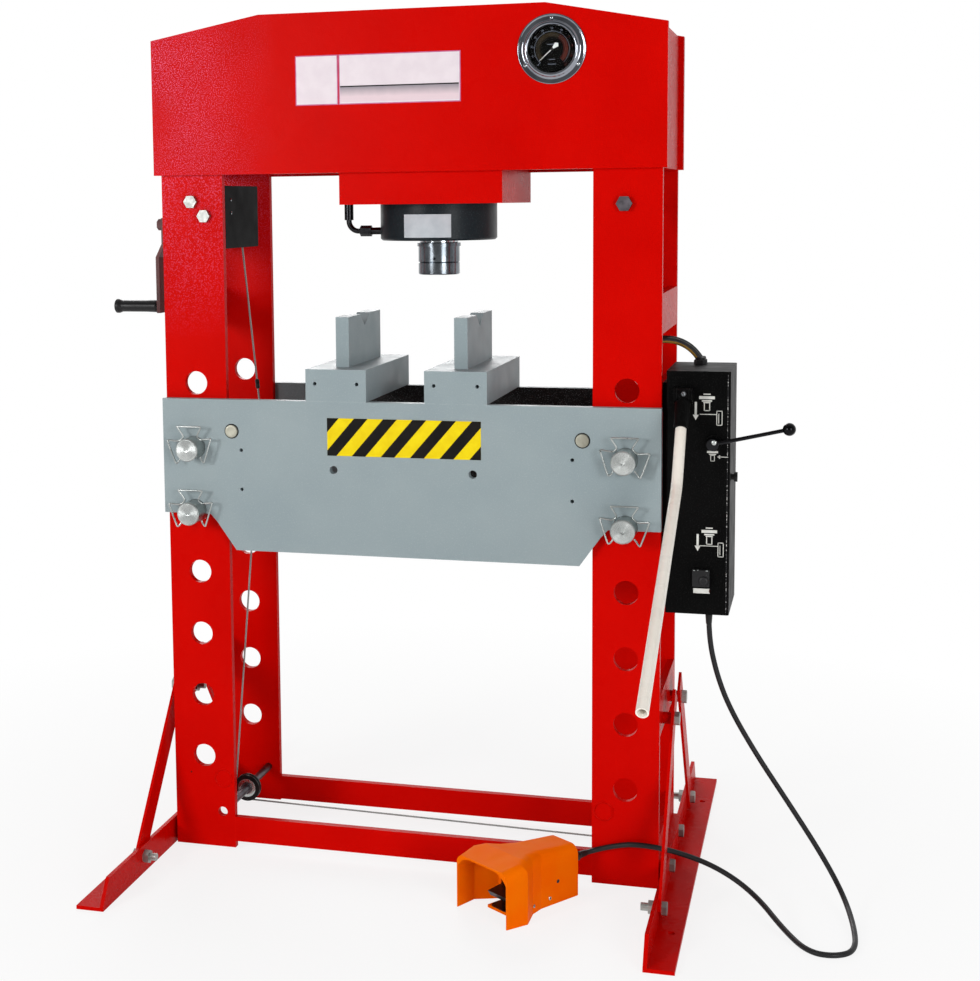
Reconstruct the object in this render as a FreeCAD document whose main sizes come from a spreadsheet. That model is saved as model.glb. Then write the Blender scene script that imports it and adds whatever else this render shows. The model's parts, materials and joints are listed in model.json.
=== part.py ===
import FreeCAD, Part
import Sketcher
import math
import os
import re

# Workshop hydraulic press. Two columns of paired plates carry a head with a cylinder. A bed hangs
# between them on four pins and is raised by a hand winch. A pump box stands on the right column
# and a foot pedal lies on the floor. Millimetres, +Z up, the front faces -Y. The origin is on the
# floor, midway between the columns and midway between the front and rear plates.

V = FreeCAD.Vector

SIZES = {
    # fits
    "seat_gap": 0.2,            # between a piece and the curved seat that holds it
    "moving_gap": 0.3,          # between a moving piece and a flat neighbour
    "running_gap": 0.05,        # round a shaft in its bearing
    "pin_gap": 0.5,             # round a bed pin in its holes
    # columns, each a front and a rear plate joined by spacers at the outer edge
    "clear_width": 800,
    "column_width": 140,
    "frame_depth": 326,
    "column_plate": 15,
    "column_bottom": 6,
    "spacer_plate": 15,
    "hole_pitch": 140,
    "lowest_hole": 214,
    "hole_count": 7,
    "base_spacer_height": 104,
    "brace_spacer_low": 330,
    "brace_spacer_height": 85,
    "upper_spacer_low": 1170,
    "upper_spacer_height": 82,
    "box_bar_height": 60,       # cross bars behind the pump box
    "box_bar_drop": 87,         # upper bar below the box's top
    "box_bar_rise": 31,         # lower bar above the box's bottom
    # head
    "head_plate": 18,
    "head_overhang": 10,
    "head_bottom": 1505,
    "head_height": 333,
    "head_slope": 46,           # fall of the top edge from knee to end
    "head_knee": 305,           # where the top edge starts to slope, from the middle
    "column_top_drop": 48,      # column top below the head's top
    "bolster_x": 38,
    "bolster_width": 350,
    "bolster_drop": 67,         # bolster below the head
    "bolster_height": 150,
    # cylinder and ram
    "cylinder_x": 40,
    "gland_radius": 127,
    "gland_height": 78,
    "gland_chamfer": 4,
    "barrel_radius": 118,
    "barrel_height": 214,
    "ram_radius": 42,
    "ram_length": 380,
    "ram_show": 7,              # ram seen between gland and nose
    "nose_radius": 45,
    "nose_height": 61,
    "nose_collar_radius": 47.5,
    "nose_collar_height": 7,
    "nose_seam_height": 25,
    "nose_seam": 1.5,
    "nose_chamfer": 2,
    "nose_hole": 3,
    "nose_hole_depth": 22.5,
    "nose_hole_height": 35,
    # return pipe beside the gland
    "pipe_radius": 6,
    "pipe_x": -164,
    "pipe_drop": 58,            # the pipe's level run below the bolster
    "pipe_bend": 22,
    "pipe_rise": 12,            # pipe end above the bolster
    "pipe_sleeve_radius": 10,
    "pipe_sleeve_drop": 34,
    "pipe_sleeve_height": 60,
    "pipe_nut": 25,
    "pipe_nut_stand": 50,       # nut beside the gland
    "pipe_nut_radius": 12,
    "pipe_union_radius": 8,
    # pressure gauge
    "gauge_in": 231.5,          # gauge from the head's right end
    "gauge_drop": 93,           # gauge below the head's top
    "gauge_flange_radius": 70,
    "gauge_flange": 3,
    "gauge_rim_radius": 54,
    "gauge_rim": 8,
    "gauge_edge": 2,            # rolled edge of the bezel
    "gauge_case_radius": 49,
    "gauge_case_depth": 52,
    "gauge_glass_radius": 47.5,
    "gauge_glass": 2,
    "gauge_glass_inset": 1.5,
    "gauge_dial_depth": 12,
    "needle_length": 30,
    "needle_tail": 12,
    "needle_width": 3,
    "needle_thick": 1.2,
    "needle_hub_radius": 4,
    "needle_spindle_radius": 1.5,
    "needle_angle": 222,        # needle direction at rest, from +X towards +Z
    # bed
    "bed_plate": 20,
    "bed_overhang": 2,          # bed beyond the columns
    "bed_rise": 107,            # bed top above its pin holes
    "bed_middle_depth": 224,    # heights below the pin holes
    "bed_middle_gap": 24,       # bottom corners inside the columns
    "bed_slope_lap": 20,        # slope end over the columns
    "bed_slope_depth": 162,
    "bed_end_depth": 146,
    "bed_hole_row": 5,          # the bed's pin holes are at this column hole, counted from 0
    "bed_mid_hole": 9,
    "bed_mid_hole_x": 152,
    "bed_mid_hole_depth": 40,
    "cross_plate_gap": 39,      # inside the columns
    "cross_plate": 12,
    "cross_plate_depth": 134,
    "cross_plate_height": 150,
    "cross_hole": 4,
    "cross_upper_depth": 3,
    "cross_lower_depth": 89,
    "lift_bar_radius": 14,
    "lift_bar_gap": 18,         # inside the columns
    "lift_bar_rise": 38,
    "lift_bar_stand": 4,        # bar end beyond the bed plate
    # pins and their wire clips
    "pin_radius": 25,
    "pin_front": 47,
    "pin_rear": 12,
    "pin_chamfer": 2,
    "clip_wire": 1.5,
    "clip_inner": 28.5,
    "clip_outer": 54,
    "clip_lower": 44,
    "clip_stand": 22,
    "clip_flare": 24,           # lean of the seat's corners, in degrees
    # V-blocks on the bed
    "left_block_x": -145,
    "right_block_x": 116,
    "block_width": 134,
    "block_base": 69,
    "block_upright": 29,
    "block_upright_depth": 256,
    "block_upright_height": 108,
    "block_notch_half": 38,
    "block_notch_depth": 27,
    "block_hole": 4,
    "block_hole_x": 46.5,
    "block_hole_z": 38,
    # winch in the left column
    "winch_plate": 5,
    "winch_drop": 159,          # winch foot below the head
    "winch_height": 136,
    "winch_length": 213,
    "winch_outer": 124,         # places outward from the column's inner edge
    "winch_inner": 1,
    "winch_bolt_outer": 71.4,
    "winch_bolt_inner": 41.6,
    "winch_bolt_high": 34,
    "winch_bolt_low": 3,
    "crank_back": 105,          # shafts behind the front plate
    "crank_rise": 52,           # shafts above the winch's foot
    "drum_back": 135,
    "drum_rise": 94,
    "drum_core": 21.7,
    "drum_flange_radius": 38,
    "drum_flange": 4,
    "drum_half_length": 40,
    "drum_out": 52,
    "wheel_teeth": 40,
    "pinion_teeth": 11,
    "wheel_width": 14,
    "winch_shaft": 8,
    "crank_reach": 184,
    "crank_arm_width": 30,
    "crank_arm": 8,
    "crank_arm_stand": 48,      # outside the column
    "crank_joggle": 15,
    "crank_joggle_top": 43,
    "crank_joggle_low": 73,
    "crank_boss": 9,
    "crank_nut": 12,
    "crank_nut_radius": 12.8,
    "grip_length": 105,
    "grip_radius": 13,
    "grip_end_radius": 16,
    "grip_edge": 2,
    "grip_end_length": 8,
    "grip_neck": 16,
    "grip_swell_from": 73.5,
    "grip_swell": 1,
    "grip_nose": 6,
    "grip_bolt": 5,
    # wires and sheaves
    "wire_radius": 2,
    "wire_eye": 16.5,
    "ferrule_radius": 4,
    "ferrule_length": 24,
    "groove_gap": 0.5,          # between a wire and its groove
    "winch_wire_out": 29,
    "sheave_groove": 27,
    "top_sheave_groove": 37,
    "sheave_width": 14,
    "sheave_lip": 2.5,
    "collar_radius": 12.6,
    "collar_width": 6,
    "sheave_axle": 9,
    "left_sheave_out": 29,      # outward from the columns' inner edges
    "right_sheave_out": 72,
    "left_sheave_z": 87,
    "right_sheave_z": 72,
    "left_axle_back": 51,       # axle end behind the front plate
    "top_sheave_out": 63.6,
    "top_sheave_drop": 71,      # below the head
    "access_hole": 11,
    # tie bars, feet and braces
    "tie_bar": 15,
    "front_tie_low": 21,
    "front_tie_height": 56,
    "rear_tie_low": 9,
    "rear_tie_height": 57,
    "foot_half_length": 541,
    "foot_leg": 60,
    "foot_plate": 8,
    "foot_slope": 35,
    "packing_plate": 10,
    "packing_half": 140,
    "foot_bolt_z": 35,
    "column_bolt_y": 102,
    "brace_bolt_y": 325,
    "brace_top_y": 81,
    "brace_top_z": 350,
    "brace_width": 50,
    "brace_plate": 6,
    "brace_overrun": 55,
    "brace_end": 13,
    "bush_radius": 12.5,
    "anchor_stand": 30,         # outward from the foot's standing leg
    "anchor_y": 375,
    "anchor_hole": 7,
    # bolts: a thin and a thick pattern
    "thick_bolt": 8,
    "bolt_reach": 28,
    "winch_bolt_end": 14,
    # pump box on the right column
    "box_gap": 10,              # box beside the column
    "box_width": 128,
    "box_stand": 5,             # box front before the column's
    "box_depth": 195,
    "box_top_gap": 73,          # box top below the upper spacer
    "box_height": 498,
    "box_round": 5,
    "lever_in": 95,             # places on the box from its left edge
    "lever_depth": 145,         # heights below the box's top
    "lever_hub": 12,
    "lever_boss": 16,
    "lever_stem": 5,
    "lever_stand": 26,
    "lever_rod": 4,
    "lever_length": 152,
    "lever_rise": 13,
    "lever_ball": 13,
    "knob_back": 48,
    "knob_depth": 220,
    "knob_radius": 10,
    "knob_stem_radius": 6,
    "knob_stem": 4.8,
    "knob_slope": 1.2,
    "knob_stand": 12,
    "plug_in": 73,
    "plug_rise": 77,            # above the box's bottom
    "plug_size": 34,
    "plug_stand": 14,
    # pump handle
    "handle_in": 36,
    "pivot_stand": 22,          # before the box's front
    "pivot_depth": 47,
    "ear_plate": 6,
    "ear_radius": 16,
    "box_mount_in": 10,
    "eye_width": 24,
    "neck_radius": 11,
    "neck_reach": 20,
    "sleeve_from": 18,
    "pivot_pin": 6,
    "socket_radius": 15,
    "socket_length": 78,
    "socket_depth": 46,
    "handle_radius": 11,
    "handle_wall": 2.5,
    "handle_bend_out": 128,     # bend and end before and below the pivot
    "handle_bend_down": 166,
    "handle_bend": 90,
    "handle_end_out": 697,
    "handle_end_down": 443,
    # hoses from the box up the right column
    "hose_radius": 6.5,
    "hose_bend": 52,
    "hose_union": 14,
    "hose_union_radius": 9.5,
    "hose_seat": 8,             # hose end above the box's top, in its union
    "hose_sweep": 80,           # bend above the box
    "hose_rise": 50,            # side run above the box's top
    "hose_lean": 24,            # places from the box's left edge
    "hose_in": 54,
    "hose_front_back": 160,     # places behind the box's front
    "hose_rear_back": 184,
    "hose_front_off": 38,       # before and behind the column's middle
    "hose_rear_off": 30,
    "hose_up": 45,              # rising runs, outward from the column's inner edge
    "hose_head_rise": 205,      # top run above the head's bottom
    "hose_drop": 50,            # rear hose below the front one
    "hose_front_turn": 240,     # where each top run turns in
    "hose_rear_turn": 300,
    "hose_wall": 23,            # rear run before the head's rear plate
    # foot pedal
    "pedal_x": 208.5,
    "pedal_y": -381,
    "pedal_angle": 54,          # from the opening to the back, from +X towards +Y
    "pedal_length": 230,
    "pedal_front_half": 75,
    "pedal_flare_half": 82,
    "pedal_flare_x": 51,
    "pedal_neck_half": 53,
    "pedal_neck_x": 93,
    "pedal_body_half": 45,
    "pedal_body_x": 124,
    "pedal_front_top": 113,
    "pedal_ridge_top": 125,
    "pedal_ridge_x": 60,
    "pedal_back_top": 108,
    "pedal_wall": 3,
    "pedal_round": 20,
    "pedal_arch": 45,           # corners of the opening
    "pedal_floor": 3,
    "pedal_cavity_top": 98,
    "pedal_tongue": 6,          # raised lip under the treadle
    "pedal_tongue_from": 46,
    "pedal_cavity": 200,
    "treadle_hinge_x": 172,
    "treadle_hinge_z": 46,
    "treadle_length": 126,
    "treadle_half": 32,
    "treadle_nose": 12,         # height of the nose
    "treadle_fall": 10,         # top of the nose below the hinge
    "treadle_lean": 8,          # foot of the nose behind its top
    "treadle_pin": 4,
    "treadle_heel": 8,          # plate behind the hinge
    "treadle_crown": 6,         # plate above the hinge
    "treadle_root": 42,         # foot of the plate before the hinge
    "pedal_gland_side": -34,
    "pedal_gland_z": 80,
    "gland_length": 15,
    "cable_gland_radius": 10,
    "cable_radius": 5.5,
    "box_gland_in": 84,
    "box_gland_back": 68,
    "cable_start": 48,          # straight runs at the cable's two ends
    "cable_finish": 24.5,
}

# Places worked out from the sizes; a rule reads them by name as it reads a size.
PLACES = {
    "clip_seat": "(pin_radius + clip_wire + seat_gap) / cos(clip_flare)",
    "gauge_x": "clear_width / 2 + column_width + head_overhang - gauge_in",
    "pipe_nut_x": "cylinder_x - gland_radius - pipe_nut_stand",
    "winch_low": "head_bottom - winch_drop",
    "head_top": "head_bottom + head_height",
    "head_end_top": "head_top - head_slope",
    "bolster_bottom": "head_bottom - bolster_drop",
    "pipe_z": "bolster_bottom - pipe_drop",
    "pipe_top": "bolster_bottom + bolster_height + pipe_rise",
    "pipe_sleeve_low": "bolster_bottom - pipe_sleeve_drop",
    "gauge_z": "head_top - gauge_drop",
    "bed_hole_z": "lowest_hole + bed_hole_row * hole_pitch",
    "bed_half_length": "clear_width / 2 + column_width + bed_overhang",
    "bed_top": "bed_hole_z + bed_rise",
    "bed_middle_bottom": "bed_hole_z - bed_middle_depth",
    "bed_middle_half": "clear_width / 2 - bed_middle_gap",
    "bed_slope_half": "clear_width / 2 + bed_slope_lap",
    "bed_slope_bottom": "bed_hole_z - bed_slope_depth",
    "bed_end_bottom": "bed_hole_z - bed_end_depth",
    "bed_mid_hole_z": "bed_hole_z - bed_mid_hole_depth",
    "cross_plate_x": "clear_width / 2 - cross_plate_gap",
    "cross_plate_bottom": "bed_hole_z - cross_plate_depth",
    "cross_upper": "bed_hole_z - cross_upper_depth",
    "cross_lower": "bed_hole_z - cross_lower_depth",
    "lift_bar_x": "clear_width / 2 - lift_bar_gap",
    "lift_bar_z": "bed_hole_z + lift_bar_rise",
    "winch_front": "column_plate - frame_depth / 2",
    "winch_outer_x": "-clear_width / 2 - winch_outer",
    "winch_inner_x": "-clear_width / 2 - winch_inner",
    "crank_y": "winch_front + crank_back",
    "crank_z": "winch_low + crank_rise",
    "crank_arm_x": "-clear_width / 2 - column_width - crank_arm_stand",
    "drum_x": "-clear_width / 2 - drum_out",
    "drum_y": "winch_front + drum_back",
    "drum_z": "winch_low + drum_rise",
    "winch_wire_x": "-clear_width / 2 - winch_wire_out",
    "left_sheave_x": "-clear_width / 2 - left_sheave_out",
    "right_sheave_x": "clear_width / 2 + right_sheave_out",
    "top_sheave_x": "clear_width / 2 + top_sheave_out",
    "top_sheave_z": "head_bottom - top_sheave_drop",
    "left_axle_front": "winch_front + left_axle_back",
    "anchor_x": "clear_width / 2 + column_width + packing_plate + foot_plate + anchor_stand",
    "box_left": "clear_width / 2 + column_width + box_gap",
    "box_front": "-frame_depth / 2 - box_stand",
    "box_top": "upper_spacer_low - box_top_gap",
    "box_bottom": "box_top - box_height",
    "box_bar_upper": "box_top - box_bar_drop",
    "box_bar_lower": "box_bottom + box_bar_rise",
    "lever_x": "box_left + lever_in",
    "lever_z": "box_top - lever_depth",
    "knob_y": "box_front + knob_back",
    "knob_z": "box_top - knob_depth",
    "plug_x": "box_left + plug_in",
    "plug_z": "box_bottom + plug_rise",
    "handle_x": "box_left + handle_in",
    "pivot_y": "box_front - pivot_stand",
    "pivot_z": "box_top - pivot_depth",
    "box_gland_x": "box_left + box_gland_in",
    "box_gland_y": "box_front + box_gland_back",
}

# Rules that several pieces share, in the sheet's words.
COLUMN_IN = "(clear_width / 2)"
COLUMN_OUT = "(clear_width / 2 + column_width)"
COLUMN_MID = "(clear_width / 2 + column_width / 2)"
COLUMN_TOP = "(head_top - column_top_drop)"
FACE = "(frame_depth / 2)"
INSIDE = "(frame_depth / 2 - column_plate)"
HEAD_FACE = "(frame_depth / 2 + head_plate)"
BED_FACE = "(frame_depth / 2 + bed_plate)"
BED_SADDLE = "(lowest_hole + (bed_hole_row - 1) * hole_pitch)"
PIN_HOLE = "(pin_radius + pin_gap)"
GLAND_BOTTOM = "(bolster_bottom - gland_height)"
BOLSTER_TOP = "(bolster_bottom + bolster_height)"
RAM_BORE = "(ram_radius + running_gap)"
RAM_BOTTOM = "(bolster_bottom - gland_height - ram_show)"
FOOT_IN = "(clear_width / 2 + column_width + packing_plate)"
FOOT_OUT = "(clear_width / 2 + column_width + packing_plate + foot_plate)"
BRACE_OUT = "(clear_width / 2 + column_width + packing_plate + foot_plate + brace_plate)"

# The winch's gear teeth, in modules: reach outside and inside the pitch circle, and half widths.
TOOTH_TIP = 0.85
TOOTH_FOOT = 1.1
TOOTH_TIP_HALF = 0.32
TOOTH_MIDDLE_HALF = 0.68
TOOTH_FOOT_HALF = 0.75

# A pin clip's corners, seen from the front: directions in degrees from +X and reaches.
CLIP_CORNERS = [
    (60, "clip_inner"), (59, "clip_outer"), (121, "clip_outer"), (120, "clip_inner"),
    (150, "clip_inner"), (157, "clip_outer"), (220, "clip_lower"), (226, "clip_inner"),
    (246, "clip_seat"), (294, "clip_seat"), (314, "clip_inner"), (313, "clip_lower"),
    (20, "clip_outer"), (30, "clip_inner")]

# A bolt's head height, and a bolt's or nut's corner radius and a nut's height, in shank radii.
BOLT_HEAD = 1.3
BOLT_CORNER = 1.85
NUT_HEIGHT = 1.6

ALONG_X = FreeCAD.Rotation(V(0, 1, 0), 90)
ALONG_Y = FreeCAD.Rotation(V(1, 0, 0), -90)

doc = FreeCAD.newDocument("hydraulic_press")
sheet = doc.addObject("Spreadsheet::Sheet", "sizes")
for row, (name, size) in enumerate(SIZES.items(), start=1):
    sheet.set("A%d" % row, name)
    sheet.set("B%d" % row, str(size))
    sheet.setAlias("B%d" % row, name)
doc.recompute()

nodes = []

BEND_SHARE = 0.45       # of the shorter run beside a bend, where its radius is left open
TUBE_ERROR = 0.03       # of a swept tube's volume


def spell(rule):
    """The rule as an expression that reads every size from the sheet."""
    def read(word):
        if word[0] in PLACES:
            return "(%s)" % spell(PLACES[word[0]])
        return "sizes." + word[0] if word[0] in SIZES else word[0]
    return re.sub("[a-z][a-z_]*", read, str(rule))


def value(rule):
    """The rule's present value."""
    return float(sheet.evalExpression(spell(rule)))


def point(x, y, z):
    """A vector from three rules."""
    return V(value(x), value(y), value(z))


def place(thing, x=0, y=0, z=0, turn=None):
    """Put an object's own origin at three rules, turned first."""
    if turn is not None:
        thing.Placement = FreeCAD.Placement(V(), turn)
    thing.setExpression("Placement.Base.x", spell(x))
    thing.setExpression("Placement.Base.y", spell(y))
    thing.setExpression("Placement.Base.z", spell(z))
    return thing


def node(label, thing):
    """Name an object as one piece of the press."""
    thing.Label = label
    nodes.append(thing)
    return thing


# ---- simple solids and booleans ----

def block(x, y, z):
    """A block between two x, two y and two z rules."""
    thing = doc.addObject("Part::Box", "block")
    for name, (low, high) in (("Length", x), ("Width", y), ("Height", z)):
        thing.setExpression(name, spell("(%s) - (%s)" % (high, low)))
    return place(thing, x[0], y[0], z[0])


def rod(radius, length, x=0, y=0, z=0, turn=None):
    """A cylinder from its start point along +Z, or along the turned Z."""
    thing = doc.addObject("Part::Cylinder", "rod")
    thing.setExpression("Radius", spell(radius))
    thing.setExpression("Height", spell(length))
    return place(thing, x, y, z, turn)


def hexagon(radius, length, x=0, y=0, z=0, turn=None):
    """A hexagonal bar, radius to its corners."""
    thing = doc.addObject("Part::Prism", "hexagon")
    thing.Polygon = 6
    thing.setExpression("Circumradius", spell(radius))
    thing.setExpression("Height", spell(length))
    return place(thing, x, y, z, turn)


def ring(radius, wire, x, y, z, turn=None):
    """A torus of round wire."""
    thing = doc.addObject("Part::Torus", "ring")
    thing.setExpression("Radius1", spell(radius))
    thing.setExpression("Radius2", spell(wire))
    return place(thing, x, y, z, turn)


def ball(radius, x, y, z):
    """A sphere."""
    thing = doc.addObject("Part::Sphere", "ball")
    thing.setExpression("Radius", spell(radius))
    return place(thing, x, y, z)


def group(*things):
    """Separate solids kept as one object."""
    thing = doc.addObject("Part::Compound", "group")
    thing.Links = list(things)
    return thing


def fuse(*things):
    """Solids joined into one."""
    thing = doc.addObject("Part::MultiFuse", "fuse")
    thing.Shapes = list(things)
    thing.Refine = True
    return thing


def common(*things):
    """What solids share."""
    thing = doc.addObject("Part::MultiCommon", "common")
    thing.Shapes = list(things)
    return thing


def cut(base, *tools):
    """A solid less one or more others."""
    thing = doc.addObject("Part::Cut", "cut")
    thing.Base = base
    thing.Tool = tools[0] if len(tools) == 1 else group(*tools)
    return thing


# ---- sketched solids ----

def new_body():
    """An empty body."""
    return doc.addObject("PartDesign::Body", "body")


def new_sketch(body, plane):
    """A sketch on one of the body's own origin planes."""
    sketch = body.newObject("Sketcher::SketchObject", "sketch")
    flat = [item for item in body.Origin.OriginFeatures if item.Role == plane][0]
    sketch.AttachmentSupport = [(flat, "")]
    sketch.MapMode = "FlatFace"
    return sketch


def pin(sketch, kind, geometry, spot, rule):
    """Hold one point of the sketch at a rule, measured from the sketch's origin."""
    constraint = Sketcher.Constraint(kind, -1, 1, geometry, spot, value(rule))
    number = sketch.addConstraint(constraint)
    sketch.setExpression("Constraints[%d]" % number, spell(rule))


def outline(sketch, corners):
    """A closed line through corners, each a pair of rules."""
    spots = [V(value(across), value(up), 0) for across, up in corners]
    first = sketch.GeometryCount
    count = len(spots)
    for i in range(count):
        sketch.addGeometry(Part.LineSegment(spots[i], spots[(i + 1) % count]), False)
    for i in range(count):
        following = first + (i + 1) % count
        sketch.addConstraint(Sketcher.Constraint("Coincident", first + i, 2, following, 1))
        pin(sketch, "DistanceX", first + i, 1, corners[i][0])
        pin(sketch, "DistanceY", first + i, 1, corners[i][1])


def circle(sketch, across, up, radius):
    """A circle at a pair of rules."""
    centre = V(value(across), value(up), 0)
    number = sketch.addGeometry(Part.Circle(centre, V(0, 0, 1), value(radius)), False)
    pin(sketch, "DistanceX", number, 3, across)
    pin(sketch, "DistanceY", number, 3, up)
    size = sketch.addConstraint(Sketcher.Constraint("Radius", number, value(radius)))
    sketch.setExpression("Constraints[%d]" % size, spell(radius))


def padded(plane, thick, corners, holes=()):
    """A body with one plate on a plane: an outline, round holes and a thickness.

    A plate on the XZ plane grows towards -Y, one on YZ towards +X and one on XY upwards.
    """
    body = new_body()
    sketch = new_sketch(body, plane)
    outline(sketch, corners)
    for hole in holes:
        circle(sketch, *hole)
    pad = body.newObject("PartDesign::Pad", "pad")
    pad.Profile = sketch
    pad.setExpression("Length", spell(thick))
    return body


def turned(corners):
    """A body spun round its own Z axis from a half outline of (radius, height) pairs."""
    body = new_body()
    sketch = new_sketch(body, "XZ_Plane")
    outline(sketch, corners)
    spin = body.newObject("PartDesign::Revolution", "spin")
    spin.Profile = sketch
    spin.ReferenceAxis = (sketch, ["V_Axis"])
    spin.Angle = 360
    return body


def chamfered(radius, length, chamfer):
    """The half outline of a round bar with both ends chamfered."""
    inner = "(%s - %s)" % (radius, chamfer)
    return [
        ("0", "0"), (inner, "0"), (radius, chamfer), (radius, "%s - %s" % (length, chamfer)),
        (inner, length), ("0", length)]


# ---- swept solids ----

def bends_of(spots, radii=None):
    """Each inner point of a route with its bend radius and the length that the bend takes."""
    found = []
    for number, (before, spot, after) in enumerate(zip(spots, spots[1:], spots[2:])):
        turn = (spot - before).getAngle(after - spot)
        shorter = min((spot - before).Length, (after - spot).Length)
        bend = radii[number] if radii else BEND_SHARE * shorter / math.tan(turn / 2)
        found.append((spot, bend, bend * math.tan(turn / 2)))
    return found


def route(spots, radii=None):
    """Straight runs joined by tangent arcs, as one wire; without radii each bend is as wide as fits."""
    edges = []
    start = spots[0]
    for (spot, bend, reach), before, after in zip(bends_of(spots, radii), spots, spots[2:]):
        incoming = (before - spot).normalize()
        outgoing = (after - spot).normalize()
        enter = spot + incoming * reach
        leave = spot + outgoing * reach
        inward = (incoming + outgoing).normalize()
        middle = spot + inward * (math.hypot(bend, reach) - bend)
        edges.append(Part.LineSegment(start, enter).toShape())
        edges.append(Part.Arc(enter, middle, leave).toShape())
        start = leave
    edges.append(Part.LineSegment(start, spots[-1]).toShape())
    return Part.Wire(edges)


def tube(path, radius, corner=0):
    """A round solid along a wire, its volume compared with its section times its length."""
    first = path.OrderedEdges[0]
    start = first.valueAt(first.FirstParameter)
    heading = first.tangentAt(first.FirstParameter)
    if first.Orientation == "Reversed":
        start = first.valueAt(first.LastParameter)
        heading = first.tangentAt(first.LastParameter) * -1
    profile = Part.Wire([Part.Circle(start, heading, radius).toShape()])
    solid = path.makePipeShell([profile], True, False, corner)
    share = solid.Volume / (math.pi * radius * radius * path.Length)
    if abs(share - 1) > TUBE_ERROR:
        raise ValueError("a swept tube has %.3f of its volume" % share)
    return solid


def feature(shape):
    """An object that holds a swept shape."""
    thing = doc.addObject("Part::Feature", "swept")
    thing.Shape = shape
    return thing


# ---- fasteners ----

def bolt(radius, length, x, y, z, turn):
    """A hexagon bolt whose head seats at a point, its shank running along the turned Z."""
    head = "%s * %g" % (radius, BOLT_HEAD)
    corner = "%s * %g" % (radius, BOLT_CORNER)
    axis = turn.multVec(V(0, 0, 1))
    back = ["%s - (%s) * %g" % (rule, head, part) for rule, part in zip((x, y, z), axis)]
    return fuse(hexagon(corner, head, *back, turn), rod(radius, length, x, y, z, turn))


def nut(radius, x, y, z, turn):
    """A hexagon nut round a bolt's end, seated at a point and running along the turned Z."""
    return hexagon("%s * %g" % (radius, BOLT_CORNER), "%s * %g" % (radius, NUT_HEIGHT), x, y, z, turn)


# ---- columns ----

def column_plate(label, side, rear, holes):
    """One plate of a column; side is -1 on the left and 1 on the right."""
    half = "column_width / 2"
    corners = [
        ("-" + half, "column_bottom"), (half, "column_bottom"), (half, COLUMN_TOP), ("-" + half, COLUMN_TOP)]
    row = [("0", "lowest_hole + %d * hole_pitch" % i, PIN_HOLE) for i in range(int(value("hole_count")))]
    plate = padded("XZ_Plane", "column_plate", corners, row + holes)
    node(label, place(plate, "%d * %s" % (side, COLUMN_MID), rear))


def column_plates():
    """The four column plates, with the bolt holes that each needs."""
    shaft_hole = "sheave_axle + seat_gap"
    bolt_hole = "thick_bolt + seat_gap"
    left_x = "left_sheave_x + %s" % COLUMN_MID
    right_x = "right_sheave_x - %s" % COLUMN_MID
    top_x = "top_sheave_x - %s" % COLUMN_MID
    winch_bolts = [("%s + %s" % (x, COLUMN_MID), z, bolt_hole) for x, z in winch_bolt_spots()]
    column_plate("left_column_front_plate", -1, "-" + INSIDE,
                 [(left_x, "left_sheave_z", "access_hole")] + winch_bolts)
    column_plate("left_column_rear_plate", -1, FACE, [(left_x, "left_sheave_z", shaft_hole)])
    column_plate("right_column_front_plate", 1, "-" + INSIDE, [(top_x, "top_sheave_z", shaft_hole)])
    column_plate("right_column_rear_plate", 1, FACE, [
        (top_x, "top_sheave_z", shaft_hole), (right_x, "right_sheave_z", shaft_hole)])


def winch_bolt_spots():
    """The two bolts that hold the winch to the left front plate, as x and z rules."""
    middle = "(winch_low + winch_height / 2)"
    across = "(-clear_width / 2 - %s)"
    return [
        (across % "winch_bolt_outer", middle + " + winch_bolt_high"),
        (across % "winch_bolt_inner", middle + " + winch_bolt_low")]


def column_spacers(label, side, bars):
    """The cross plates at a column's outer edge; the lowest takes the foot's bolts."""
    near = "(%s - spacer_plate)" % COLUMN_OUT
    across = sorted([side * 1, side * 2])
    edges = {1: near, 2: COLUMN_OUT, -1: "-" + near, -2: "-" + COLUMN_OUT}
    x = [edges[step] for step in across]
    y = ["-" + INSIDE, INSIDE]
    spans = [
        ("column_bottom", "column_bottom + base_spacer_height"),
        ("brace_spacer_low", "brace_spacer_low + brace_spacer_height"),
        ("upper_spacer_low", "upper_spacer_low + upper_spacer_height"),
        ("head_bottom", COLUMN_TOP)]
    plates = [block(x, y, span) for span in spans + bars]
    through = "-" + COLUMN_OUT if side < 0 else near
    hole = "thick_bolt + seat_gap"
    for number, height, offset in ((0, "foot_bolt_z", "column_bolt_y"), (1, "brace_top_z", "brace_top_y")):
        holes = [
            rod(hole, "spacer_plate", through, "%d * %s" % (end, offset), height, ALONG_X) for end in (-1, 1)]
        plates[number] = cut(plates[number], *holes)
    node(label, group(*plates))


def box_bars():
    """The heights of the bars that carry the pump box."""
    return [(low, "%s + box_bar_height" % low) for low in ("box_bar_lower", "box_bar_upper")]


# ---- head and cylinder ----

def head_plates():
    """The two head plates; the front one has the gauge's hole."""
    half = "(%s + head_overhang)" % COLUMN_OUT
    corners = [
        ("-" + half, "head_bottom"), (half, "head_bottom"), (half, "head_end_top"), ("head_knee", "head_top"),
        ("-head_knee", "head_top"), ("-" + half, "head_end_top")]
    gauge = [("gauge_x", "gauge_z", "gauge_case_radius + seat_gap")]
    node("head_front_plate", place(padded("XZ_Plane", "head_plate", corners, gauge), 0, "-" + FACE))
    node("head_rear_plate", place(padded("XZ_Plane", "head_plate", corners), 0, HEAD_FACE))


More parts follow.
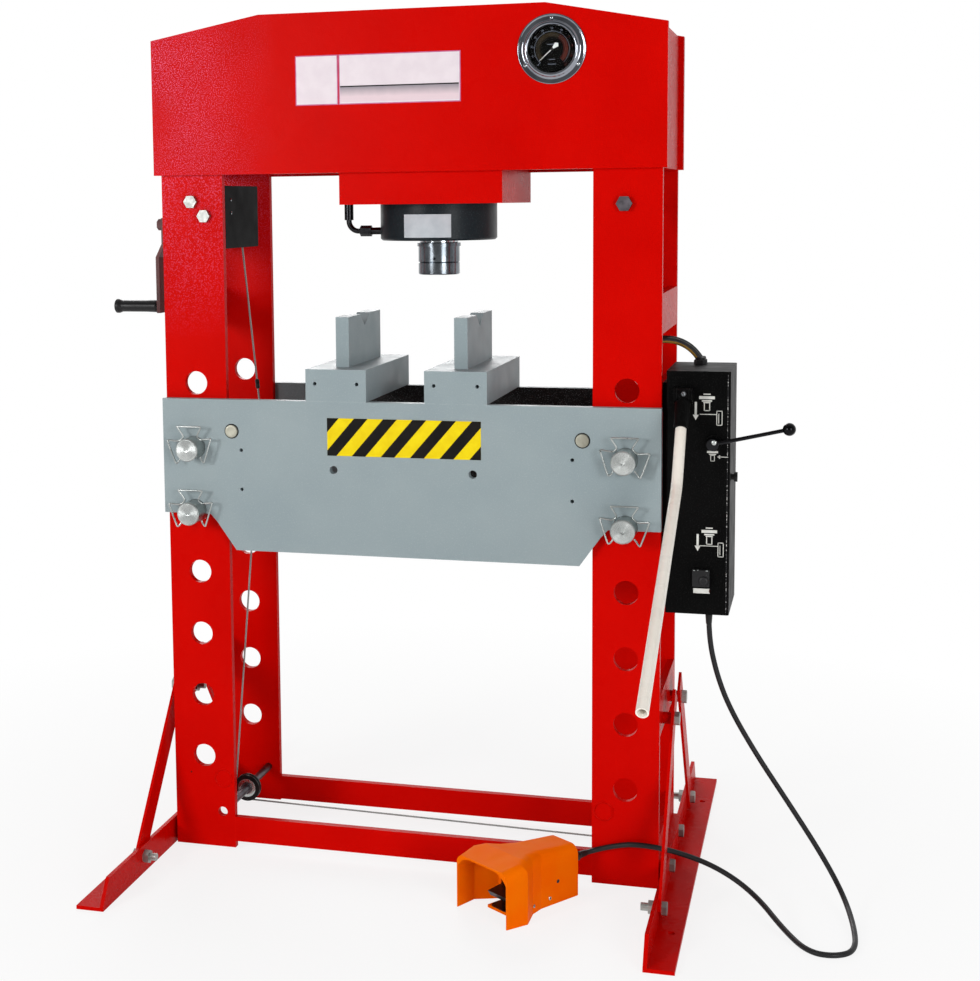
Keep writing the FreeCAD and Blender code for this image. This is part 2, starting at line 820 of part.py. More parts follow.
def bolster_block():
    """The thick block between the head plates that carries the cylinder."""
    body = block(
        ("bolster_x - bolster_width / 2", "bolster_x + bolster_width / 2"), ("-" + FACE, FACE),
        ("bolster_bottom", BOLSTER_TOP))
    bore = rod(RAM_BORE, "bolster_height", "cylinder_x", 0, "bolster_bottom")
    node("bolster_block", cut(body, bore))


def cylinder_barrel():
    """The closed barrel above the bolster, bored for the ram."""
    bore_top = "(%s + ram_length + moving_gap - %s)" % (RAM_BOTTOM, BOLSTER_TOP)
    corners = [
        (RAM_BORE, "0"), ("barrel_radius", "0"), ("barrel_radius", "barrel_height"), ("0", "barrel_height"),
        ("0", bore_top), (RAM_BORE, bore_top)]
    node("cylinder_barrel", place(turned(corners), "cylinder_x", 0, BOLSTER_TOP))


def cylinder_gland():
    """The round gland under the bolster that guides the ram."""
    corners = [
        (RAM_BORE, "0"), ("gland_radius - gland_chamfer", "0"), ("gland_radius", "gland_chamfer"),
        ("gland_radius", "gland_height"), (RAM_BORE, "gland_height")]
    node("cylinder_gland", place(turned(corners), "cylinder_x", 0, GLAND_BOTTOM))


def ram():
    """The ram and the pressing nose on its lower end."""
    bar = turned(chamfered("ram_radius", "ram_length", "nose_chamfer"))
    node("ram", place(bar, "cylinder_x", 0, RAM_BOTTOM))
    low = "nose_seam_height"
    collar = "(nose_height + nose_collar_height)"
    corners = [
        ("0", "0"), ("nose_radius - nose_chamfer", "0"), ("nose_radius", "nose_chamfer"),
        ("nose_radius", low), ("nose_radius - nose_seam", low + " + nose_seam"),
        ("nose_radius", low + " + 2 * nose_seam"), ("nose_radius", "nose_height"),
        ("nose_collar_radius", "nose_height"), ("nose_collar_radius", collar), ("0", collar)]
    nose = place(turned(corners), "cylinder_x", 0, "%s - %s" % (RAM_BOTTOM, collar))
    hole = rod("nose_hole", "nose_hole_depth + moving_gap", "cylinder_x", "-nose_radius - moving_gap",
               "%s - %s + nose_hole_height" % (RAM_BOTTOM, collar), ALONG_Y)
    node("ram_nose", cut(nose, hole))


def return_pipe():
    """The oil pipe that comes down out of the head and bends into the gland's side."""
    gland_side = "(cylinder_x - gland_radius - seat_gap)"
    spots = [point("pipe_x", 0, "pipe_top"), point("pipe_x", 0, "pipe_z"), point("pipe_nut_x", 0, "pipe_z")]
    bend = feature(tube(route(spots, [value("pipe_bend")]), value("pipe_radius")))
    sleeve = rod("pipe_sleeve_radius", "pipe_sleeve_height", "pipe_x", 0, "pipe_sleeve_low")
    grip = hexagon("pipe_nut_radius", "pipe_nut", "pipe_nut_x", 0, "pipe_z", ALONG_X)
    union = rod("pipe_union_radius", "%s - pipe_nut_x - pipe_nut" % gland_side, "pipe_nut_x + pipe_nut", 0,
                "pipe_z", ALONG_X)
    node("return_pipe", fuse(bend, sleeve, grip, union))


# ---- gauge ----

def gauge():
    """The pressure gauge in the head's front plate, facing -Y; heights run inwards from its front."""
    front = "(-%s - gauge_rim)" % HEAD_FACE
    rim_back = "(gauge_rim)"
    dial = "gauge_dial_depth"
    case = [
        ("0", dial), ("gauge_case_radius - gauge_glass", dial), ("gauge_case_radius - gauge_glass", rim_back),
        ("gauge_case_radius", rim_back), ("gauge_case_radius", "gauge_case_depth"), ("0", "gauge_case_depth")]
    body = place(turned(case), "gauge_x", front, "gauge_z", ALONG_Y)
    bore = rod("needle_spindle_radius + running_gap", "needle_hub_radius", "gauge_x",
               "%s + %s" % (front, dial), "gauge_z", ALONG_Y)
    node("gauge_case", cut(body, bore))
    flange = "(gauge_rim - gauge_flange)"
    rim = [
        ("gauge_glass_radius - gauge_edge", "0"), ("gauge_rim_radius - gauge_edge", "0"),
        ("gauge_rim_radius", "gauge_edge"),
        ("gauge_rim_radius", flange), ("gauge_flange_radius", flange), ("gauge_flange_radius", "gauge_rim"),
        ("gauge_glass_radius", "gauge_rim"), ("gauge_glass_radius", "gauge_glass_inset"),
        ("gauge_glass_radius - gauge_edge", "gauge_glass_inset")]
    node("gauge_bezel", place(turned(rim), "gauge_x", front, "gauge_z", ALONG_Y))
    glass = rod("gauge_glass_radius - seat_gap", "gauge_glass", "gauge_x", "%s + gauge_glass_inset" % front,
                "gauge_z", ALONG_Y)
    node("gauge_glass", glass)


def gauge_needle():
    """The needle on its spindle, between dial and glass."""
    back = "(-%s - gauge_rim + gauge_dial_depth - moving_gap)" % HEAD_FACE
    front = "(%s - needle_thick)" % back
    half = "needle_width / 2"
    blade = padded("XZ_Plane", "needle_thick", [
        ("-needle_tail", "-" + half), ("0", "-" + half), ("needle_length", "0"), ("0", half),
        ("-needle_tail", half)])
    spun = FreeCAD.Rotation(V(0, 1, 0), -value("needle_angle"))
    place(blade, "gauge_x", back, "gauge_z", spun)
    hub = rod("needle_hub_radius", "needle_thick", "gauge_x", front, "gauge_z", ALONG_Y)
    reach = "needle_hub_radius + moving_gap"
    spindle = rod("needle_spindle_radius", reach, "gauge_x", back, "gauge_z", ALONG_Y)
    node("gauge_needle", fuse(blade, hub, spindle))


# ---- bed ----

def bed_plate(label, rear):
    """One bed plate: pin holes at its ends, half-round saddles under them, small holes between."""
    half = "bed_half_length"
    right = [
        ("bed_middle_half", "bed_middle_bottom"), ("bed_slope_half", "bed_slope_bottom"),
        ("bed_slope_half + column_plate", "bed_end_bottom"), (half, "bed_end_bottom"), (half, "bed_top")]
    left = [("-(%s)" % x, z) for x, z in reversed(right)]
    drilled = [("cross_plate_x", z, "cross_hole") for z in ("cross_upper", "cross_lower")]
    pairs = [
        (COLUMN_MID, "bed_hole_z", PIN_HOLE), ("lift_bar_x", "lift_bar_z", "lift_bar_radius + seat_gap"),
        ("bed_mid_hole_x", "bed_mid_hole_z", "bed_mid_hole")] + drilled
    holes = [("%d * %s" % (side, x), z, radius) for x, z, radius in pairs for side in (-1, 1)]
    body = padded("XZ_Plane", "bed_plate", right + left, holes)
    place(body, 0, rear)
    front = "%s - bed_plate" % rear
    saddles = [
        rod(PIN_HOLE, "bed_plate", "%d * %s" % (side, COLUMN_MID), front, BED_SADDLE, ALONG_Y)
        for side in (-1, 1)]
    node(label, cut(body, *saddles))


def bed_cross_plates():
    """The two plates that hold the bed's sides apart, drilled from both ends."""
    plates = []
    for side in (-1, 1):
        middle = "%d * cross_plate_x" % side
        plate = block(
            (middle + " - cross_plate", middle + " + cross_plate"), ("-" + FACE, FACE),
            ("cross_plate_bottom", "cross_plate_bottom + cross_plate_height"))
        reach = "bolt_reach"
        holes = []
        for height in ("cross_upper", "cross_lower"):
            for start in ("-" + FACE, "%s - %s" % (FACE, reach)):
                holes.append(rod("cross_hole", reach, middle, start, height, ALONG_Y))
        plates.append(cut(plate, *holes))
    node("bed_cross_plates", group(*plates))


def bed_lift_bars():
    """The round bars that the wires pull on, through both bed plates."""
    length = "2 * (%s + lift_bar_stand)" % BED_FACE
    corners = chamfered("lift_bar_radius", "(%s)" % length, "pin_chamfer")
    front = "-%s - lift_bar_stand" % BED_FACE
    bars = [
        place(turned(corners), "%d * lift_bar_x" % side, front, "lift_bar_z", ALONG_Y) for side in (-1, 1)]
    node("bed_lift_bars", group(*bars))


def v_block(label, x):
    """A base bar across the bed with an upright on it, notched for a round bar."""
    half = "block_width / 2"
    base = padded("XZ_Plane", "2 * %s" % BED_FACE, [
        ("-" + half, "0"), (half, "0"), (half, "block_base"), ("-" + half, "block_base")], [
        ("-block_hole_x", "block_hole_z", "block_hole"), ("block_hole_x", "block_hole_z", "block_hole")])
    place(base, x, BED_FACE, "bed_top")
    deep = "block_upright_depth / 2"
    tall = "block_upright_height"
    upright = padded("YZ_Plane", "block_upright", [
        ("-" + deep, "0"), (deep, "0"), (deep, tall), ("block_notch_half", tall),
        ("0", tall + " - block_notch_depth"), ("-block_notch_half", tall), ("-" + deep, tall)])
    place(upright, x + " - block_upright / 2", 0, "bed_top + block_base")
    node(label, fuse(base, upright))


# ---- pins ----

def bed_pin(label, side, height):
    """A plain pin through both column plates and both bed plates."""
    length = "(2 * %s + pin_front + pin_rear)" % BED_FACE
    bar = turned(chamfered("pin_radius", length, "pin_chamfer"))
    node(label, place(bar, "%d * %s" % (side, COLUMN_MID), "-%s - pin_front" % BED_FACE, height, ALONG_Y))


def pin_clip(label, side, height):
    """The bent wire round a pin's front end: three open lobes and a seat under the pin."""
    spots = [
        V(value(reach) * math.cos(math.radians(angle)), 0, value(reach) * math.sin(math.radians(angle)))
        for angle, reach in CLIP_CORNERS]
    middle = (spots[1] + spots[2]) * 0.5
    loop = Part.makePolygon([middle] + spots[2:] + spots[:2] + [middle])
    wire = feature(tube(loop, value("clip_wire"), 1))
    node(label, place(wire, "%d * %s" % (side, COLUMN_MID), "-%s - clip_stand" % BED_FACE, height))


# ---- winch ----

def winch_housing():
    """The winch frame in the left column: two side plates on a back plate at the front plate."""
    low = "winch_low"
    top = "(winch_low + winch_height)"
    y = ("winch_front", "winch_front + winch_length")
    outer = block(("winch_outer_x", "winch_outer_x + winch_plate"), y, (low, top))
    inner = block(("winch_inner_x - winch_plate", "winch_inner_x"), y, (low, top))
    back = block(("winch_outer_x", "winch_inner_x"), ("winch_front", "winch_front + winch_plate"), (low, top))
    hole = "winch_shaft + running_gap"
    span = "winch_inner_x - winch_outer_x"
    bores = [
        rod(hole, span, "winch_outer_x", "crank_y", "crank_z", ALONG_X),
        rod(hole, span, "winch_outer_x", "drum_y", "drum_z", ALONG_X)]
    bolts = [rod("thick_bolt + seat_gap", "winch_plate", x, "winch_front", z, ALONG_Y)
             for x, z in winch_bolt_spots()]
    node("winch_housing", cut(fuse(outer, inner, back), *bores, *bolts))


def gear(teeth, width, x, y, z, phase):
    """A spur gear with its axis along X; phase turns a tooth from -Z towards +Y, in degrees."""
    distance = "sqrt((crank_y - drum_y) ^ 2 + (crank_z - drum_z) ^ 2)"
    module = "(2 * %s / (wheel_teeth + pinion_teeth))" % distance
    middle = "(%s * %s / 2)" % (module, teeth)
    root = "(%s - %s * %g)" % (middle, module, TOOTH_FOOT)
    body = new_body()
    disc = new_sketch(body, "XY_Plane")
    circle(disc, "0", "0", root)
    blank = body.newObject("PartDesign::Pad", "blank")
    blank.Profile = disc
    blank.setExpression("Length", spell(width))
    flank = [
        ("%s * 0.9" % root, TOOTH_FOOT_HALF), (middle, TOOTH_MIDDLE_HALF),
        ("(%s + %s * %g)" % (middle, module, TOOTH_TIP), TOOTH_TIP_HALF)]
    lower = [(reach, "-%s * %g" % (module, half)) for reach, half in flank]
    upper = [(reach, "%s * %g" % (module, half)) for reach, half in reversed(flank)]
    profile = new_sketch(body, "XY_Plane")
    outline(profile, lower + upper)
    tooth = body.newObject("PartDesign::Pad", "tooth")
    tooth.Profile = profile
    tooth.setExpression("Length", spell(width))
    around = body.newObject("PartDesign::PolarPattern", "around")
    around.Originals = [tooth]
    around.Axis = (profile, ["N_Axis"])
    around.Angle = 360
    around.Occurrences = int(value(teeth))
    body.Tip = around
    return place(body, x, y, z, ALONG_X * FreeCAD.Rotation(V(0, 0, 1), phase))


def mesh_angle():
    """The direction from the drum's shaft to the crank's, from -Z towards +Y, in degrees."""
    return math.degrees(math.atan2(value("crank_y - drum_y"), value("drum_z - crank_z")))


def winch_drum():
    """The drum with its flanges, gear wheel and shaft; a gap of the wheel faces the pinion."""
    left = "drum_x - drum_half_length"
    right = "drum_x + drum_half_length"
    at = ("drum_y", "drum_z", ALONG_X)
    shaft = rod("winch_shaft", "winch_inner_x - winch_outer_x", "winch_outer_x", *at)
    core = rod("drum_core", "2 * drum_half_length", left, *at)
    flanges = [rod("drum_flange_radius", "drum_flange", x, *at) for x in (left, right + " - drum_flange")]
    phase = mesh_angle() + 180 / value("wheel_teeth")
    wheel = gear("wheel_teeth", "wheel_width", left + " - wheel_width", "drum_y", "drum_z", phase)
    node("winch_drum", fuse(shaft, core, *flanges, wheel))


def winch_crank():
    """The crank: shaft with nut and pinion, a tooth towards the wheel, and the joggled arm."""
    at = ("crank_y", "crank_z", ALONG_X)
    start = "(crank_arm_x - crank_nut)"
    shaft = rod("winch_shaft", "winch_inner_x - %s" % start, start, *at)
    wheel_side = "drum_x - drum_half_length - wheel_width"
    pinion = gear("pinion_teeth", "wheel_width", wheel_side, "crank_y", "crank_z", mesh_angle() + 180)
    outer = "-crank_joggle"
    half = "crank_arm_width / 2"
    foot = "-crank_reach - crank_arm_width / 2"
    corners = [
        ("0", half), ("0", "-crank_joggle_top"), (outer, "-crank_joggle_low"), (outer, foot),
        (outer + " + crank_arm", foot), (outer + " + crank_arm", "-crank_joggle_low"),
        ("crank_arm", "-crank_joggle_top"), ("crank_arm", half)]
    arm = padded("XZ_Plane", "crank_arm_width", corners)
    place(arm, "crank_arm_x", "crank_y + " + half, "crank_z")
    boss = rod("crank_arm_width / 2", "crank_boss + crank_arm", "crank_arm_x", *at)
    end = hexagon("crank_nut_radius", "crank_nut", start, *at)
    stud = rod("grip_bolt", "grip_length + crank_arm", "crank_arm_x - crank_joggle - grip_length", "crank_y",
               "crank_z - crank_reach", ALONG_X)
    node("winch_crank", fuse(shaft, pinion, arm, boss, end, stud))


def crank_grip():
    """The loose grip on the crank's stud, flared at its outer end."""
    bore = "(grip_bolt + running_gap)"
    length = "(grip_length - moving_gap)"
    corners = [
        (bore, "0"), ("grip_end_radius - grip_edge", "0"), ("grip_end_radius", "grip_edge"),
        ("grip_end_radius", "grip_end_length"), ("grip_radius", "grip_neck"),
        ("grip_radius", "grip_swell_from"), ("grip_radius + grip_swell", "%s - grip_nose" % length),
        ("grip_radius - grip_swell", length),
        (bore, length)]
    start = "crank_arm_x - crank_joggle - grip_length"
    node("crank_grip", place(turned(corners), start, "crank_y", "crank_z - crank_reach", ALONG_X))


# ---- wires and sheaves ----

def winch_wire():
    """The wire from the winch drum down to the left lift bar, with an eye round the bar."""
    drum_reach = value("drum_core + wire_radius + moving_gap")
    y = value("drum_y") + drum_reach
    top = V(value("winch_wire_x"), y, value("drum_z"))
    bar = V(-value("lift_bar_x"), y, value("lift_bar_z"))
    upward = (top - bar).normalize()
    seat = bar + upward * value("wire_eye")
    end = seat + upward * value("ferrule_length")
    over = V(top.x, y - drum_reach, top.z) + upward * drum_reach
    back = V(top.x, y - 2 * drum_reach, top.z)
    path = Part.Wire([Part.LineSegment(end, top).toShape(), Part.Arc(top, over, back).toShape()])
    wire = feature(tube(path, value("wire_radius")))
    eye = ring("wire_eye", "wire_radius", "-lift_bar_x", "drum_y + %g" % drum_reach, "lift_bar_z", ALONG_Y)
    node("winch_wire", fuse(wire, eye, ferrule(seat, upward)))


def ferrule(seat, upward):
    """The pressed sleeve that closes a wire's eye."""
    return rod("ferrule_radius", "ferrule_length + wire_radius", seat.x, seat.y, seat.z, FreeCAD.Rotation(
        V(0, 0, 1), upward))


def tangent_points(first, second):
    """Where a tight wire leaves one wheel and meets the next; a wheel is (x, z, radius, hand)."""
    ax, az, ar, ah = first
    bx, bz, br, bh = second
    across = math.hypot(bx - ax, bz - az)
    lean = math.asin((ah * ar - bh * br) / across)
    heading = math.atan2(bz - az, bx - ax) + lean
    side = V(-math.sin(heading), 0, math.cos(heading))
    return V(ax, 0, az) + side * (ah * ar), V(bx, 0, bz) + side * (bh * br)


def lift_wire():
    """The wire that keeps the bed level: left bar, two low sheaves, top sheave, right bar."""
    groove = value("sheave_groove + wire_radius")
    top_groove = value("top_sheave_groove + wire_radius")
    wheels = [
        (-value("lift_bar_x"), value("lift_bar_z"), 0, 1),
        (value("left_sheave_x"), value("left_sheave_z"), groove, -1),
        (value("right_sheave_x"), value("right_sheave_z"), groove, -1),
        (value("top_sheave_x"), value("top_sheave_z"), top_groove, -1),
        (value("lift_bar_x"), value("lift_bar_z"), 0, 1)]
    legs = [tangent_points(a, b) for a, b in zip(wheels, wheels[1:])]
    eye = value("wire_eye")
    reach = eye + value("ferrule_length")
    (left_bar, left_sheave), (top_sheave, right_bar) = legs[0], legs[-1]
    left_way = (left_sheave - left_bar).normalize()
    right_way = (top_sheave - right_bar).normalize()
    legs[0] = (left_bar + left_way * reach, left_sheave)
    legs[-1] = (top_sheave, right_bar + right_way * reach)
    edges = []
    for (start, end), wheel, following in zip(legs, wheels[1:], legs[1:] + [None]):
        edges.append(Part.LineSegment(start, end).toShape())
        if following:
            hub = V(wheel[0], 0, wheel[1])
            outward = (end - hub + following[0] - hub)
            outward = outward.normalize() * wheel[2]
            heading = (end - start).normalize()
            if outward.dot(heading) < 0:
                outward = outward * -1
            edges.append(Part.Arc(end, hub + outward, following[0]).toShape())
    wire = feature(tube(Part.Wire(edges), value("wire_radius")))
    eyes = [ring("wire_eye", "wire_radius", "%d * lift_bar_x" % side, 0, "lift_bar_z", ALONG_Y)
            for side in (-1, 1)]
    sleeves = [ferrule(left_bar + left_way * eye, left_way), ferrule(right_bar + right_way * eye, right_way)]
    node("lift_wire", fuse(wire, *eyes, *sleeves))


def sheave(label, x, z, groove):
    """A grooved wheel on an axle along Y; the rule groove is the radius under the wire."""
    half = "sheave_width / 2"
    bore = "(sheave_axle + running_gap)"
    floor = "(%s - groove_gap)" % groove
    wide = "(wire_radius + groove_gap)"
    rim = "(%s + 2 * wire_radius)" % groove
    corners = [
        (bore, "-" + half), (rim, "-" + half), (rim, "-%s + sheave_lip" % half),
        (floor, "-" + wide), (floor, wide), (rim, half + " - sheave_lip"),
        (rim, half), (bore, half)]
    node(label, place(turned(corners), x, 0, z, ALONG_Y))


def sheave_axles():
    """The three axles; the top one has a bolt head on the front plate."""
    low_left = rod("sheave_axle", "%s - left_axle_front" % FACE, "left_sheave_x", "left_axle_front",
                   "left_sheave_z", ALONG_Y)
    low_right = rod("sheave_axle", "%s + %s" % (FACE, INSIDE), "right_sheave_x", "-" + INSIDE,
                    "right_sheave_z", ALONG_Y)
    top = bolt("sheave_axle", "2 * " + FACE, "top_sheave_x", "-" + FACE, "top_sheave_z", ALONG_Y)
    collars = []
    axles = [
        (low_left, "left_sheave_x", "left_sheave_z"), (low_right, "right_sheave_x", "right_sheave_z"),
        (top, "top_sheave_x", "top_sheave_z")]
    starts = ("sheave_width / 2 + moving_gap", "-sheave_width / 2 - moving_gap - collar_width")
    for shaft, x, z in axles:
        rings = [rod("collar_radius", "collar_width", x, y, z, ALONG_Y) for y in starts]
        collars.append(fuse(shaft, *rings))
    node("sheave_axles", group(*collars))


# ---- base ----

def tie_bars():
    """The bars between the columns at the floor, in line with the column plates."""
    x = ("-" + COLUMN_IN, COLUMN_IN)
    front_span = ("front_tie_low", "front_tie_low + front_tie_height")
    rear_span = ("rear_tie_low", "rear_tie_low + rear_tie_height")
    front = block(x, ("-" + FACE, "-%s + tie_bar" % FACE), front_span)
    rear = block(x, ("%s - tie_bar" % FACE, FACE), rear_span)
    node("tie_bars", group(front, rear))


def foot(label, side):
    """An angle-iron foot: a floor leg and a standing leg with sloped ends."""
    half = "foot_half_length"
    far = "(%s - foot_plate + foot_leg)" % FOOT_OUT
    x = ("%s" % FOOT_IN, far) if side > 0 else ("-" + far, "-" + FOOT_IN)
    floor_leg = block(x, ("-" + half, half), ("0", "foot_plate"))
    hole = "thick_bolt + seat_gap"
    bolts = [
        ("%d * %s" % (end, y), "foot_bolt_z", hole)
        for y in ("column_bolt_y", "brace_bolt_y") for end in (-1, 1)]
    standing = padded("YZ_Plane", "foot_plate", [
        ("-" + half, "0"), (half, "0"), (half, "foot_plate"), (half + " - foot_slope", "foot_leg"),
        ("-%s + foot_slope" % half, "foot_leg"), ("-" + half, "foot_plate")], bolts)
    place(standing, FOOT_IN if side > 0 else "-" + FOOT_OUT)
    anchors = [
        rod("anchor_hole", "foot_plate", "%d * anchor_x" % side, "%d * anchor_y" % end)
        for end in (-1, 1)]
    node(label, cut(fuse(floor_leg, standing), *anchors))


def foot_spacers():
    """The packing plates between columns and feet, and the bushes behind the brace tops."""
    pieces = []
    hole = "thick_bolt + seat_gap"
    for side in (-1, 1):
        x = (COLUMN_OUT, FOOT_IN) if side > 0 else ("-" + FOOT_IN, "-" + COLUMN_OUT)
        plate = block(x, ("-packing_half", "packing_half"), ("column_bottom", "foot_leg"))
        holes = [
            rod(hole, "packing_plate", x[0], "%d * column_bolt_y" % end, "foot_bolt_z", ALONG_X)
            for end in (-1, 1)]
        pieces.append(cut(plate, *holes))
        start = COLUMN_OUT if side > 0 else "-" + FOOT_OUT
        for end in (-1, 1):
            at = (start, "%d * brace_top_y" % end, "brace_top_z", ALONG_X)
            reach = "packing_plate + foot_plate"
            pieces.append(cut(rod("bush_radius", reach, *at), rod(hole, reach, *at)))
    node("foot_spacers", group(*pieces))


def foot_braces():
    """The flat bars that lean from the feet to the columns."""
    run = "sqrt((brace_bolt_y - brace_top_y) ^ 2 + (brace_top_z - foot_bolt_z) ^ 2)"
    half = "brace_width / 2"
    corners = [
        ("-brace_end", "-" + half), (run + " + brace_overrun", "-" + half), (run + " + brace_overrun", half),
        ("-brace_end", half)]
    hole = "thick_bolt + seat_gap"
    rise = value("brace_top_z - foot_bolt_z")
    back = value("brace_bolt_y - brace_top_y")
    bars = []
    for side in (-1, 1):
        for end in (-1, 1):
            bar = padded("XY_Plane", "brace_plate", corners, [("0", "0", hole), (run, "0", hole)])
            along = V(0, -end * back, rise).normalize()
            out = V(side, 0, 0)
            turn = FreeCAD.Rotation(along, out.cross(along), out, "ZXY")
            place(bar, "%d * %s" % (side, FOOT_OUT), "%d * brace_bolt_y" % end, "foot_bolt_z", turn)
            bars.append(bar)
    node("foot_braces", group(*bars))


def frame_bolts():
    """The frame's bolts with their nuts: feet, braces and winch."""
    pieces = []
    thick = "thick_bolt"
    for side in (-1, 1):
        turn = FreeCAD.Rotation(V(0, 1, 0), -90 * side)
        spots = [
            ("column_bolt_y", "foot_bolt_z", FOOT_OUT), ("brace_bolt_y", "foot_bolt_z", BRACE_OUT),
            ("brace_top_y", "brace_top_z", BRACE_OUT)]
        for y, z, face in spots:
            for end in (-1, 1):
                seat = FOOT_IN if y == "brace_bolt_y" else "(%s - spacer_plate)" % COLUMN_OUT
                length = "(%s - %s + bolt_reach)" % (face, seat)
                screw = bolt(thick, length, "%d * %s" % (side, face), "%d * %s" % (end, y), z, turn)
                end_nut = nut(thick, "%d * %s" % (side, seat), "%d * %s" % (end, y), z, turn)
                pieces.append(fuse(screw, end_nut))
    for x, z in winch_bolt_spots():
        screw = bolt(thick, "column_plate + winch_plate + winch_bolt_end", x, "-" + FACE, z, ALONG_Y)
        pieces.append(fuse(screw, nut(thick, x, "-%s + winch_plate" % INSIDE, z, ALONG_Y)))
    node("frame_bolts", group(*pieces))


# ---- pump box ----

def pump_box():
    """The box with the hand pump and valve, the ears for the handle and the lever's boss."""
    right = "(box_left + box_width)"
    back = "(box_front + box_depth)"
    case = padded("XY_Plane", "box_height", [
        ("box_left", "box_front"), (right, "box_front"), (right, back), ("box_left", back)])
    doc.recompute()
    edges = [
        "Edge%d" % (i + 1) for i, edge in enumerate(case.Shape.Edges)
        if abs(edge.tangentAt(edge.FirstParameter).z) > 0.99]
    pad = case.Tip
    rounded = case.newObject("PartDesign::Fillet", "rounded")
    rounded.Base = (pad, edges)
    rounded.setExpression("Radius", spell("box_round"))
    place(case, 0, 0, "box_bottom")
    mount = block((COLUMN_OUT, "box_left"), ("-%s + box_mount_in" % INSIDE, "0"), (
        "box_bar_lower", "box_bar_upper + box_bar_height"))
    ears = []
    gap = "(eye_width / 2 + moving_gap)"
    for x in ("handle_x - %s - ear_plate" % gap, "handle_x + %s" % gap):
        web = block((x, "(%s) + ear_plate" % x), ("pivot_y", "box_front + box_round"), (
            "pivot_z - ear_radius", "pivot_z + ear_radius"))
        ears.append(fuse(web, rod("ear_radius", "ear_plate", x, "pivot_y", "pivot_z", ALONG_X)))
    span = "(2 * (%s + ear_plate))" % gap
    bore = rod("pivot_pin + running_gap", span, "handle_x - %s / 2" % span, "pivot_y", "pivot_z", ALONG_X)
    front = "box_front - box_round"
    boss = rod("lever_boss", "box_round", "lever_x", front + " + moving_gap", "lever_z", ALONG_Y)
    stem = rod("lever_stem + running_gap", "2 * box_round", "lever_x", front, "lever_z", ALONG_Y)
    node("pump_box", cut(fuse(case, mount, *ears, boss), bore, stem))


def box_fittings():
    """The knob on the box's side and the cable plug on its front."""
    knob = place(turned([
        ("0", "0"), ("knob_stem_radius", "0"), ("knob_stem_radius", "knob_stem"),
        ("knob_radius", "knob_stem + knob_slope"), ("knob_radius", "knob_stand"), ("0", "knob_stand")]),
        "box_left + box_width", "knob_y", "knob_z", ALONG_X)
    half = "plug_size / 2"
    plug = block(
        ("plug_x - " + half, "plug_x + " + half), ("box_front - plug_stand", "box_front"),
        ("plug_z - " + half, "plug_z + " + half))
    node("box_fittings", group(knob, plug))


def valve_lever():
    """The valve lever: hub, stem in the box, rod and ball."""
    hub_front = "(box_front - box_round - lever_stand)"
    hub = rod("lever_hub", "lever_stand", "lever_x", hub_front, "lever_z", ALONG_Y)
    stem = rod("lever_stem", "lever_stand + box_round", "lever_x", hub_front, "lever_z", ALONG_Y)
    tilt = FreeCAD.Rotation(V(0, 1, 0), 90 - value("lever_rise"))
    arm_y = hub_front + " + lever_hub"
    arm = rod("lever_rod", "lever_length", "lever_x", arm_y, "lever_z", tilt)
    end = ball("lever_ball", "lever_x + lever_length * cos(lever_rise)", arm_y,
               "lever_z + lever_length * sin(lever_rise)")
    node("valve_lever", fuse(hub, stem, arm, end))


def pump_handle():
    """The handle's socket on its pivot, and the bent tube pushed into it."""
    pivot = point("handle_x", "pivot_y", "pivot_z")
    bend = pivot - point("0", "handle_bend_out", "handle_bend_down")
    end = pivot - point("0", "handle_end_out", "handle_end_down")
    down = (bend - pivot).normalize()
    lean = FreeCAD.Rotation(V(0, 0, 1), down)
    at = ("handle_x", "pivot_y", "pivot_z")
    gap = "(eye_width / 2)"
    eye = rod("ear_radius", "eye_width", "handle_x - " + gap, "pivot_y", "pivot_z", ALONG_X)
    half = "(eye_width / 2 + moving_gap + ear_plate)"
    pivot_pin = rod("pivot_pin", "2 * " + half, "handle_x - " + half, "pivot_y", "pivot_z", ALONG_X)
    neck = rod("neck_radius", "neck_reach", *at, lean)
    top = pivot + down * value("sleeve_from")
    sleeve = rod("socket_radius", "socket_length - sleeve_from", top.x, top.y, top.z, lean)
    mouth = pivot + down * value("socket_length - socket_depth")
    bore = rod("handle_radius + seat_gap", "socket_depth", mouth.x, mouth.y, mouth.z, lean)
    node("pump_socket", cut(fuse(eye, pivot_pin, neck, sleeve), bore))
    start = mouth + down * value("seat_gap")
    path = route([start, bend, end], [value("handle_bend")])
    outer = feature(tube(path, value("handle_radius")))
    inner = feature(tube(path, value("handle_radius - handle_wall")))
    node("pump_handle", cut(outer, inner))


def hose_start(back, off, height):
    """A hose's way out of the box's top, slanting into the column and up to a height."""
    y = "box_front + " + back
    side = "box_top + hose_rise"
    up = COLUMN_IN + " + hose_up"
    return [
        point("box_left + hose_in", y, "box_top + hose_seat"), point("box_left + hose_lean", y, side),
        point(up, off, side), V(value(up), value(off), height)]


